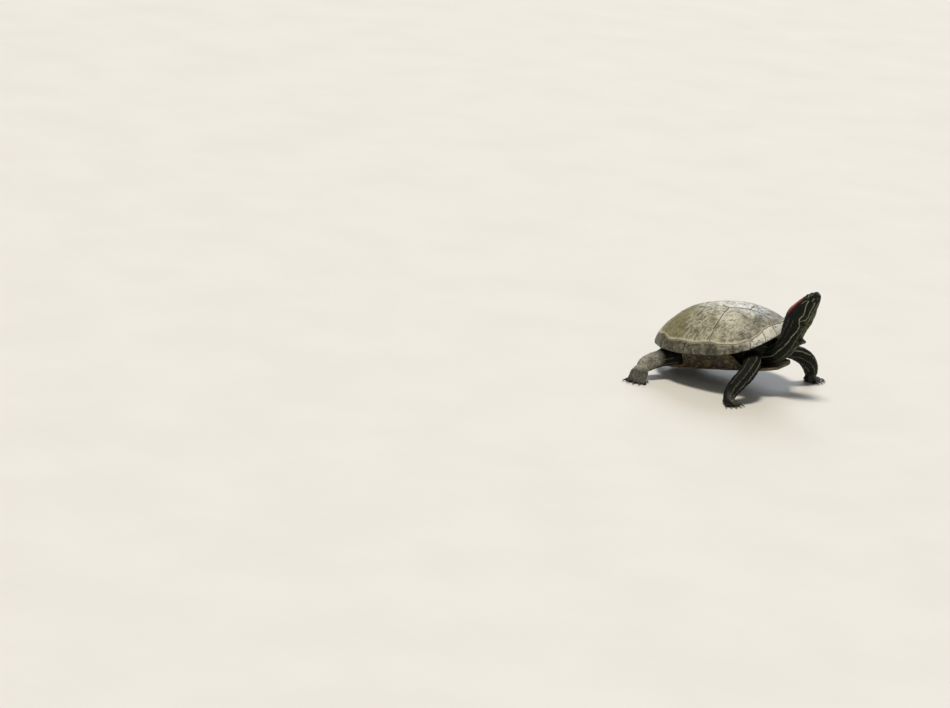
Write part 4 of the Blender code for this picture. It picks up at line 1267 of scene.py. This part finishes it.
def wandering(line):
    """The line moved a little from side to side, but still at its ends, the same for both plates that share it."""
    run = np.r_[0, np.cumsum(np.linalg.norm(np.diff(line, axis=0), axis=1))]
    calm = ease(np.minimum(run, run[-1] - run), 0, 3.0)
    spot = np.column_stack([line, np.zeros(len(line))])
    move = [0.8 * lumps(spot, 9.0, seed) + 0.3 * lumps(spot, 3.0, seed + 2) for seed in (51, 52)]
    return line + np.stack(move, 1) * calm[:, None]


# Places in the shell's plan, in mm: the ends of the seams between vertebrals, and their corners at the costals
VERTEBRAL_SEAMS = [(55, 16.5), (9, 20), (-36, 18.5), (-75, 12)]
COSTAL_CORNERS = [(24, 27), (-17, 28.5), (-58, 25)]
COSTAL_ANGLES = [12.5, 83.6, 107.5, 136.0, 165.0]  # degrees, where the costals' seams meet the marginals
FIRST_SIDE = [(88, 14.5), (76, 13.5), (66, 14.5)]
LAST_SIDE = [(-93, 20)]
BLEACHED_TO = MARGIN_LENGTHS[3]  # mm round the rim, where the bleached marginals end
STREAKS_ACROSS = (0.83, 0.55)  # the way across the streaks in the plan, as parts forward and outward
STREAK_WIDTH, STREAK_LENGTH = 3.4, 15  # mm, about
RIDGES = (0.33, 0.47, 0.59, 0.69, 0.775, 0.845, 0.905, 0.955)  # of a plate's growth, where its creases lie


def margin_line(first, last, step=0.8):
    """The seam between the costals and the marginals in the plan, from one angle to another (degrees)."""
    angle = np.radians(np.linspace(first, last, max(int(abs(last - first) * 1.7 / step), 1) + 1))
    return dome(angle, margin_share(angle))[:, :2] / MM


def closed(*lines):
    """One closed outline from lines that each end where the next begins."""
    return np.concatenate([line[:-1] for line in lines])


def shell_seams(side):
    """The seams of one side in the plan, by the plates that they part."""
    mirrored = np.array([1, side])
    first, *ends, last = (margin_line(side * degrees, side * degrees)[0] * mirrored for degrees in COSTAL_ANGLES)
    seams = dict(
        first=[first, *FIRST_SIDE, VERTEBRAL_SEAMS[0]],
        last=[VERTEBRAL_SEAMS[3], *LAST_SIDE, last],
    )
    for k, (turning, end) in enumerate(zip(COSTAL_CORNERS, ends)):
        seams[f"before_{k}"] = [VERTEBRAL_SEAMS[k], turning]
        seams[f"after_{k}"] = [turning, VERTEBRAL_SEAMS[k + 1]]
        halfway = (np.array(turning) + end) / 2 + np.array([1.8, 0])
        seams[f"cross_{k}"] = [turning, halfway, end]
    return {key: wandering(drawn(*corners) * mirrored) for key, corners in seams.items()}


def vertebral_outlines(seams):
    """The five plates along the back, from the neck to the tail."""
    left, right = seams
    tops = [margin_line(COSTAL_ANGLES[0], -COSTAL_ANGLES[0])]
    tops += [wandering(drawn((x, wide), (x + 1.5, 0), (x, -wide))) for x, wide in VERTEBRAL_SEAMS]
    tops.append(margin_line(COSTAL_ANGLES[-1], 360 - COSTAL_ANGLES[-1]))
    sides = [["first"]] + [[f"before_{k}", f"after_{k}"] for k in range(3)] + [["last"]]
    for k, keys in enumerate(sides):
        down = [right[key] for key in keys]
        back = [left[key][::-1] for key in keys[::-1]]
        yield closed(tops[k], *down, tops[k + 1][::-1], *back)


def costal_outlines(seams, side):
    """The four plates down one side."""
    degrees = [side * angle for angle in COSTAL_ANGLES]
    for k in range(4):
        top = [seams["first"]] if k == 0 else [seams[f"after_{k - 1}"]]
        top.append(seams["last"] if k == 3 else seams[f"before_{k}"])
        down = [] if k == 3 else [seams[f"cross_{k}"]]
        back = [] if k == 0 else [seams[f"cross_{k - 1}"][::-1]]
        yield closed(*top, *down, margin_line(degrees[k + 1], degrees[k]), *back)


def marginal_outlines():
    """The nuchal and the twelve plates round each side, as (mm round the rim, mm down the section)."""
    ends = [-at for at in MARGIN_LENGTHS[::-1]] + MARGIN_LENGTHS
    ends = [-RIM_LENGTH, *ends, RIM_LENGTH]
    for a, b in zip(ends[:-1], ends[1:]):
        first, second = (drawn((at, 0), (at, MARGIN_RUN)) for at in (a, b))
        first = first if a == -RIM_LENGTH else wandering(first)
        second = second if b == RIM_LENGTH else wandering(second)
        yield closed(drawn((a, 0), (b, 0)), second, drawn((b, MARGIN_RUN), (a, MARGIN_RUN)), first[::-1])


def shell_places(points):
    """Numbers by place over the shell: dust with painted highlights, bleaching, darkening with painted shade, new horn,
    and the way streaks run.
    """
    x, y, z = points.T / MM
    angle, share = polar(points[:, :2])

    def patch(at_x, at_y, reach_x, reach_y):
        """1 in a round patch on each side of the shell, from its middle and reach in mm."""
        return ease(np.hypot((x - at_x) / reach_x, (np.abs(y) - at_y) / reach_y), 1.3, 0.5)

    rear = ease(-x, -30, 95)
    front = ease(x, 20, 80) * ease(share, 0.88, 0.94)
    low = ease(share, 0.80, 1.0)
    blot = hill((x - 18) / 11, 1.0) * hill((z - 4) / 9, 1.0) * (y < -60)
    seam = margin_share(angle)
    reach = np.linalg.norm(rim(angle), axis=1) / MM
    lip = hill((share - seam) * reach + 0.6, 1.0)
    marginal = ease(share - seam, -0.004, 0.004)
    from_neck = np.abs(np.interp(np.degrees(angle), RIM_DEGREES, RIM_LENGTHS))
    bleach = marginal * ease(from_neck, BLEACHED_TO + 16, BLEACHED_TO - 12)
    # Dust on the front marginals and the rim, paler towards the top, and a painted highlight in a patch on each flank
    # and each shoulder
    flank_highlight, shoulder_highlight = patch(33, 48, 24, 13), patch(60, 28, 12, 10)
    dust_and_highlights_mask = np.maximum.reduce([0.4 * front, 0.1 * low, flank_highlight, 0.6 * shoulder_highlight, 0.75 * ease(share, 0.5, 0.2)])
    # Darker marginals behind the bleached ones, more so towards the rear; painted shade on the rim's lower edge, and
    # over the front of the dome outside the shoulder highlights
    grime = np.maximum.reduce([
        marginal * np.interp(from_neck, (BLEACHED_TO - 10, BLEACHED_TO + 12, 140, 200), (0.0, 0.62, 0.72, 1.0)),
        0.95 * ease(share, 0.95, 0.99) * ease(from_neck, BLEACHED_TO - 30, BLEACHED_TO + 12),
        0.6 * (1 - marginal) * ease(x, 45, 70) * (1 - shoulder_highlight),
    ])
    forward, outward = STREAKS_ACROSS
    return dict(rear=rear, dusty=dust_and_highlights_mask, blotch=blot, lip=lip, bleach=bleach, grime=grime,
                around=(forward * x + outward * np.abs(y)) / STREAK_WIDTH,
                down=(forward * np.abs(y) - outward * x) / STREAK_LENGTH)


def build_carapace(settings, look):
    seams = [shell_seams(side) for side in (1, -1)]
    half = settings.seam_width / 2 / MM
    # Outlines, the ways from their middles to their nuclei (mm), and what lays them on the shell. A nucleus lies
    # behind its plate's middle, because each ring grows more in front. The nuchal's lies in its middle line
    groups = dict(
        vertebral_scutes=[(outline, (-3.0, 0.0), dome_over) for outline in vertebral_outlines(seams)],
        costal_scutes=[(outline, (-5.0, -4.0 * side), dome_over)
                       for side, lines in zip((1, -1), seams) for outline in costal_outlines(lines, side)],
        marginal_scutes=[(outline, (4.0 * np.sign(np.trunc(outline[:, 0].mean() / 5)), -1.0), margin_over)
                         for outline in marginal_outlines()],
    )
    number = 0
    for name, plates in groups.items():
        made = []
        for number, (outline, off, over) in enumerate(plates, number + 1):
            nucleus = (outline.min(0) + outline.max(0)) / 2 + np.array(off)
            ridges = RIDGES[-2:] if over is margin_over else RIDGES
            made.append(horn_plate(outline, nucleus, over, number, ridges, half, settings.rugged))
        plates_piece(name, made, look, "shell", by_place=shell_places)


def vault(angle, share):
    """Points of the dome's inner face."""
    edge = rim(angle)
    fall = (1 - np.minimum(share / (UNDERSIDE_SHARE + 0.02), 1) ** DOME_SHOULDER) ** DOME_DROP
    z = edge[:, 2] * share ** 2 + (DOME_HEIGHT - SHELL_THICK) * fall
    return np.stack([edge[:, 0] * share + DOME_SHIFT * (1 - share), edge[:, 1] * share, z], 1)


def build_bone(look, around=200):
    """The living layer under the horn: a closed shell whose outer face lies just below the plates' tops."""
    angle = np.linspace(-np.pi, np.pi, around, endpoint=False)
    start = margin_share(angle)
    outer = [dome(angle, start * share) for share in np.linspace(0, 1, 30)[1:-1]]
    across = (angle + np.pi) / (2 * np.pi)
    outer += [looked_up(PROFILES, across, np.full(around, at)) for at in np.linspace(0, 1, 30)]
    outer = np.stack(outer)
    out = unit(np.cross(np.roll(outer, -1, 1) - np.roll(outer, 1, 1), np.gradient(outer, axis=0)))
    out *= np.sign(out[5, 0, 2])
    depth = np.where(np.arange(len(outer)) < len(outer) - 4, BONE_DEPTH, 0.0)  # the last rows join the vault
    outer = outer - out * depth[:, None, None]
    inner = [vault(angle, share) for share in (0.84, 0.80, 0.74, 0.66, 0.56, 0.44, 0.30, 0.15)]
    rows = np.concatenate([outer, inner])
    points = np.concatenate([[dome(np.zeros(1), np.zeros(1))[0] - (0, 0, BONE_DEPTH)], rows.reshape(-1, 3),
                             [vault(np.zeros(1), np.zeros(1))[0]]])
    bone = mesh_piece("carapace_bone", shell_to_world(points), poled_faces(len(rows), around), look, "shell")
    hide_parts("carapace")


# ---------------------------------------------------------------- the plastron

PLASTRON_DROP, PLASTRON_THICK, BRIDGE_REACH, GAP = 0.0370, 0.0040, 0.925, 0.0003
# Place along the shell, the lobe's half width and the share of the bridge, as the solid has them
PLASTRON_OUTLINE = np.array([
    (0.1055, 0.0180, 0.0), (0.1035, 0.0270, 0.0), (0.0970, 0.0360, 0.0), (0.0840, 0.0430, 0.0),
    (0.0680, 0.0480, 0.0), (0.0560, 0.0500, 0.10), (0.0480, 0.0510, 0.80), (0.0380, 0.0520, 1.0),
    (0.0120, 0.0530, 1.0), (-0.0150, 0.0530, 1.0), (-0.0330, 0.0520, 0.98), (-0.0420, 0.0510, 0.75),
    (-0.0500, 0.0500, 0.10), (-0.0620, 0.0510, 0.0), (-0.0780, 0.0490, 0.0), (-0.0910, 0.0430, 0.0),
    (-0.1000, 0.0340, 0.0), (-0.1060, 0.0220, 0.0),
])[::-1]
ACROSS = 50.0  # what stands for the plastron's half width in its plates' outlines
# Seams from the front to the back: mm along the shell at the middle line, and at the edge
PLASTRON_SEAMS = [(105.2, 105.0), (89, 102.5), (72, 66), (43, 47), (-17, -24), (-62, -70), (-105.6, -105.0)]


def plastron_place(x, across, lift):
    """Points of the plastron's underside at x (m) and across (-1 to 1), lift (m) out from it, and its upper limit."""
    lobe = np.interp(x, PLASTRON_OUTLINE[:, 0], PLASTRON_OUTLINE[:, 1])
    bridge = np.interp(x, PLASTRON_OUTLINE[:, 0], PLASTRON_OUTLINE[:, 2])
    forward = (np.abs(x) / np.where(x > 0, FRONT_REACH, REAR_REACH)) ** (1 / RIM_SQUARENESS)
    half_width = HALF_WIDTH * np.maximum(1 - forward ** 2, 0) ** (RIM_SQUARENESS / 2)
    top = np.where(x > 0, FRONT_RISE * forward ** 3, REAR_RISE * forward ** 2) - RIM_THICK - 2 * GAP
    reach = lobe + bridge * (half_width * BRIDGE_REACH - lobe)
    bend = 0.8 * lobe

    def under(share):
        y = reach * share
        climb = ease(np.abs(y), bend, reach)
        rise = bridge * (top + PLASTRON_DROP) + (1 - bridge) * 0.0012
        return np.stack([x, y, -PLASTRON_DROP + rise * (0.5 * climb + 0.5 * climb ** 2)], 1)

    slope = under(across + 0.01) - under(across - 0.01)
    out = unit(np.stack([np.zeros(len(x)), slope[:, 2], -slope[:, 1]], 1))
    made = under(across) + out * np.broadcast_to(lift, len(x))[:, None]
    made[:, 2] = np.minimum(made[:, 2], top)
    return made


def plastron_over(place, lift):
    """Points of the plastron's underside at (mm along, share across), lift (mm) out."""
    return plastron_place(place[:, 0] * MM, place[:, 1] / ACROSS, lift * MM)


def plastron_outlines():
    """The six plates down each side of the plastron, and which side each is on."""
    edge = 0.965 * ACROSS
    last = len(PLASTRON_SEAMS) - 1
    for side in (1, -1):
        mirrored = np.array([1, side])
        for k, (ahead, behind) in enumerate(zip(PLASTRON_SEAMS[:-1], PLASTRON_SEAMS[1:])):
            lines = [drawn((x, 0), (edge_x, edge)) * mirrored for x, edge_x in (ahead, behind)]
            first, second = (wandering(line) if 0 < k + n < last else line for n, line in enumerate(lines))
            outside = drawn((ahead[1], edge), (behind[1], edge)) * mirrored
            yield closed(first, outside, second[::-1], wandering(drawn((behind[0], 0), (ahead[0], 0)))), side


def build_plastron(settings):
    half = settings.seam_width / 2 / MM
    plates = []
    for number, (outline, side) in enumerate(plastron_outlines(), 60):
        nucleus = (outline.min(0) + outline.max(0)) / 2 + np.array([0, 3 * side])
        plates.append(horn_plate(outline, nucleus, plastron_over, number, RIDGES[3:], half, 0.25, thick=1.0))
    plates_piece("plastral_scutes", plates, belly_look(settings), "plastron")
    across = np.linspace(-1, 1, 49)
    rows = []
    for at in np.linspace(PLASTRON_OUTLINE[0, 0], PLASTRON_OUTLINE[-1, 0], 150):
        here = np.full(len(across), at)
        under = plastron_place(here, across, -0.5 * MM)
        upper = plastron_place(here, across[::-1], -PLASTRON_THICK)
        rows.append(np.concatenate([under, upper]))
    rows = np.stack(rows)
    points = np.concatenate([[rows[0].mean(0)], rows.reshape(-1, 3), [rows[-1].mean(0)]])
    faces = poled_faces(len(rows), rows.shape[1])
    # The seam layer's colours, darkened as painted shade
    look = seam_look("plastron_seam_layer", 3.0, "#3A3220", "#6F603A", 0.6)
    bone = mesh_piece("plastron_bone", shell_to_world(points), faces, look, "plastron")
    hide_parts("plastron")


# ---------------------------------------------------------------- the stage

# The view: degrees round from the right side towards the front, up, and rolled; metres away
VIEW_ROUND, VIEW_UP, VIEW_ROLL, VIEW_AWAY = 25.6, 15.5, 6.4, 5.0
ASIDE_OF_MIDDLE, ABOVE_MIDDLE = 4.71, 0.23  # degrees from the view's middle to the shell's middle
LENS = 115.2  # mm, on a 36 mm sensor


def aimed(thing, place, out, right, up):
    """Puts a thing at place, looking against out."""
    thing.matrix_world = Matrix((
        (right[0], up[0], out[0], place[0]), (right[1], up[1], out[1], place[1]), (right[2], up[2], out[2], place[2]),
        (0, 0, 0, 1),
    ))


def directions(degrees_round, degrees_up, roll=0.0):
    """The way out to a place round the turtle, and the right and up of a view from there."""
    a, e, r = (math.radians(value) for value in (degrees_round, degrees_up, roll))
    out = np.array([math.sin(a) * math.cos(e), -math.cos(a) * math.cos(e), math.sin(e)])
    right = np.array([math.cos(a), math.sin(a), 0])
    up = np.cross(out, right)
    return out, right * math.cos(r) + up * math.sin(r), up * math.cos(r) - right * math.sin(r)


def build_camera():
    lens = bpy.data.cameras.new("view")
    lens.lens = LENS
    lens.sensor_width = 36
    lens.clip_end = 50
    out, right, up = directions(VIEW_ROUND, VIEW_UP, VIEW_ROLL)
    target = SHIFT + np.array([0, 0, SHELL_LIFT])
    # The camera turns to put the target aside of its middle
    sideways, upwards = math.tan(math.radians(ASIDE_OF_MIDDLE)), math.tan(math.radians(ABOVE_MIDDLE))
    ahead = unit(-out - right * sideways - up * upwards)
    new_right = unit(np.cross(ahead, up))
    camera = placed("view", lens)
    aimed(camera, target + out * VIEW_AWAY, -ahead, new_right, np.cross(new_right, ahead))
    bpy.context.scene.camera = camera


LAMP_AWAY = 5.0  # m


def build_lamp(name, degrees_round, degrees_up, strength, spread, tint):
    """A far, broad light, even over the whole floor; its spread in degrees softens the shadows."""
    lamp = bpy.data.lights.new(name, "SUN")
    lamp.angle = math.radians(spread)
    lamp.energy = strength
    lamp.color = linear(tint)[:3]
    out, right, up = directions(degrees_round, degrees_up)
    aimed(placed(name, lamp), out * LAMP_AWAY, out, right, up)


FLOOR_REACH = 30.0  # m


def build_floor(colour):
    """Painted plaster board: matt, with a faint unevenness."""
    look, tree, shader = new_material("matt_floor_paint")
    grain = node(tree, NOISE, node(tree, PLACE, out="Object"), None, 0.5 / (90 * MM), 3.0)
    tint = node(tree, MIX, node(tree, RANGE, grain, 0.3, 0.7), _6=colour, _7="#DBDAD5", **COLOURS)
    node(tree, shader, Base_Color=tint, Roughness=0.85)
    mesh = bpy.data.meshes.new("floor")
    corners = ((-1, -1), (1, -1), (1, 1), (-1, 1))
    mesh.from_pydata([(x * FLOOR_REACH, y * FLOOR_REACH, 0) for x, y in corners], [], [(0, 1, 2, 3)])
    mesh.materials.append(look)
    placed("floor", mesh)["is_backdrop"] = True


def build_stage(settings):
    build_floor(settings.floor)
    build_camera()
    build_lamp("key_light", settings.key_round, settings.key_up, settings.key_strength, spread=12.5, tint="#FFF6E8")
    build_lamp("back_light", settings.back_round, settings.back_up, settings.back_strength, spread=33.0, tint="#EAF1FF")
    world = bpy.data.worlds.new("studio")
    world.use_nodes = True
    tree = world.node_tree
    # The wall behind the floor's end is as pale as the floor, and darkens upwards
    height = node(tree, "ShaderNodeSeparateXYZ", node(tree, PLACE, out="Generated"), out="Z")
    wall = node(tree, RANGE, height, 0.01, 0.14, 1.0, settings.ambient, **SMOOTH)
    node(tree, tree.nodes["Background"], Color="#E6E5DF", Strength=wall)
    bpy.context.scene.world = world
    bpy.context.scene.view_settings.view_transform = "Standard"


# ---------------------------------------------------------------- settings, operators and panel


def colour_setting(name, description, hex_colour):
    return FloatVectorProperty(name=name, description=description, default=linear(hex_colour), subtype="COLOR",
                               size=4, min=0, max=1)


def length_setting(name, description, default):
    return FloatProperty(name=name, description=description, default=default, min=0, precision=5, unit="LENGTH")


def number_setting(name, description, default, low=0, high=100):
    return FloatProperty(name=name, description=description, default=default, min=low, max=high)


class TURTLE_PG_skin(PropertyGroup):
    voxel: length_setting("Mesh size", "Spacing of the skin's mesh before the head is refined", 1.25 * MM)
    smoothing: IntProperty(name="Smoothing", description="Rounds of smoothing of the flesh", default=14, min=0)
    depth: length_setting("Coat depth", "How far the skin lies inside the solids, to leave room for scales", 0.35 * MM)
    spacing: length_setting("Scale spacing", "Distance between the roots of neighbouring scales", 2.0 * MM)
    ground: colour_setting("Ground", "Olive black of the skin", "#0F120B")
    dark: colour_setting("Dark ground", "Darkest patches of the skin", "#070805")
    fleck: colour_setting("Flecks", "Fine pale flecks on the dark skin", "#23271B")
    pale: colour_setting("Throat", "Green yellow of the throat and the undersides", "#66683A")
    stripe: colour_setting("Stripes", "Pale yellow stripes", "#86866B")
    red: colour_setting("Ear patch", "Red patch behind the eye", "#772C26")


class TURTLE_PG_shell(PropertyGroup):
    seam_width: length_setting("Seam width", "Gap between neighbouring plates", 0.7 * MM)
    rugged: number_setting("Ruggedness", "Strength of the carapace's uneven relief", 1.7, high=2)
    horn: colour_setting("Horn", "Main colour of the carapace", "#8B8770")
    horn_dark: colour_setting("Dark horn", "Dark parts of the carapace", "#5B5745")
    horn_light: colour_setting("Light horn", "Worn parts of the carapace", "#B2AE95")
    # Also the colour of the painted highlights on the flanks and shoulders
    dust: colour_setting("Dust", "Dry silt on the carapace", "#C6C3B0")
    bleached: colour_setting("Bleached horn", "Sun-bleached plates over the neck", "#DBD9D0")
    new_horn: colour_setting("New horn", "Pale line along the seam over the marginals", "#C9C3AC")
    algae: colour_setting("Algae", "Growth towards the rear", "#5E5A2C")
    seam: colour_setting("Seams", "Plate edges", "#2B281D")


class TURTLE_PG_plastron(PropertyGroup):
    seam_width: length_setting("Seam width", "Gap between neighbouring plates", 0.6 * MM)
    # The plastron's yellow, darkened as painted shade
    belly: colour_setting("Belly", "Yellow of the plastron", "#66572E")


class TURTLE_PG_eye(PropertyGroup):
    # The iris's green gold, darkened as painted shade
    iris: colour_setting("Iris", "Green gold of the iris", "#3E4122")


class TURTLE_PG_stage(PropertyGroup):
    floor: colour_setting("Floor", "Pale floor", "#DFDED9")
    key_round: number_setting("Key round", "Degrees round from the right side to the key light", -10, -180, 180)
    key_up: number_setting("Key height", "Degrees up to the key light", 77, high=90)
    key_strength: number_setting("Key strength", "Key light in watts per square metre", 2.42)
    back_round: number_setting("Back round", "Degrees round from the right side to the back light", -160, -180, 180)
    back_up: number_setting("Back height", "Degrees up to the back light", 34, high=90)
    back_strength: number_setting("Back strength", "Back light in watts per square metre", 1.4)
    ambient: number_setting("Ambient", "Strength of the light from all round", 0.26)


class TURTLE_OT_skin(Operator):
    """Covers the flesh with one skin: lids, jaws, folds and markings"""

    bl_idname = "turtle.skin"
    bl_label = "Skin"

    def execute(self, context):
        build_skin(context.scene.turtle_skin)
        return {"FINISHED"}


class TURTLE_OT_scales(Operator):
    """Lays scales over the legs, the neck and the tail"""

    bl_idname = "turtle.scales"
    bl_label = "Scales"

    def execute(self, context):
        build_scales(context.scene.turtle_skin)
        return {"FINISHED"}


class TURTLE_OT_eyes(Operator):
    """Sets both eyeballs in their lids"""

    bl_idname = "turtle.eyes"
    bl_label = "Eyes"

    def execute(self, context):
        build_eyes(context.scene.turtle_eye)
        return {"FINISHED"}


class TURTLE_OT_claws(Operator):
    """Rounds the claws of all four feet"""

    bl_idname = "turtle.claws"
    bl_label = "Claws"

    def execute(self, context):
        build_claws()
        return {"FINISHED"}


class TURTLE_OT_carapace(Operator):
    """Lays the carapace's plates over its bone"""

    bl_idname = "turtle.carapace"
    bl_label = "Carapace"

    def execute(self, context):
        settings = context.scene.turtle_shell
        build_bone(seam_look("seam_layer", 2.2, "#3A3627", "#8A836B", 0.7))
        build_carapace(settings, horn_look(settings))
        return {"FINISHED"}


class TURTLE_OT_plastron(Operator):
    """Lays the plastron's plates over its bone"""

    bl_idname = "turtle.plastron"
    bl_label = "Plastron"

    def execute(self, context):
        build_plastron(context.scene.turtle_plastron)
        return {"FINISHED"}


class TURTLE_OT_stage(Operator):
    """Sets out the floor, the lights and the camera"""

    bl_idname = "turtle.stage"
    bl_label = "Stage"

    def execute(self, context):
        build_stage(context.scene.turtle_stage)
        return {"FINISHED"}


OPERATORS = (TURTLE_OT_skin, TURTLE_OT_scales, TURTLE_OT_eyes, TURTLE_OT_claws, TURTLE_OT_carapace,
             TURTLE_OT_plastron, TURTLE_OT_stage)
SETTINGS = dict(turtle_skin=TURTLE_PG_skin, turtle_shell=TURTLE_PG_shell, turtle_plastron=TURTLE_PG_plastron,
                turtle_eye=TURTLE_PG_eye, turtle_stage=TURTLE_PG_stage)


class TURTLE_PT_panel(Panel):
    """Settings and operators of the turtle"""

    bl_idname = "TURTLE_PT_panel"
    bl_label = "Red-eared slider"
    bl_space_type = "VIEW_3D"
    bl_region_type = "UI"
    bl_category = "Turtle"

    def draw(self, context):
        for key in SETTINGS:
            group = getattr(context.scene, key)
            box = self.layout.box()
            for setting in group.bl_rna.properties:
                if setting.identifier not in ("name", "rna_type"):
                    box.prop(group, setting.identifier)
        for operator in OPERATORS:
            self.layout.operator(operator.bl_idname)


CLASSES = (*SETTINGS.values(), *OPERATORS, TURTLE_PT_panel)


def register():
    for kind in CLASSES:
        bpy.utils.register_class(kind)
    for key, kind in SETTINGS.items():
        setattr(bpy.types.Scene, key, PointerProperty(type=kind))


def unregister():
    for key in SETTINGS:
        delattr(bpy.types.Scene, key)
    for kind in reversed(CLASSES):
        bpy.utils.unregister_class(kind)


def main():
    """Builds the turtle and its stage."""
    register()
    for operator in OPERATORS:
        getattr(bpy.ops.turtle, operator.bl_idname.split(".")[1])()
    boxes = [[list(map(float, end)) for end in box] for box in (CAD_BOX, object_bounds())]


if __name__ == "__main__":
    main()
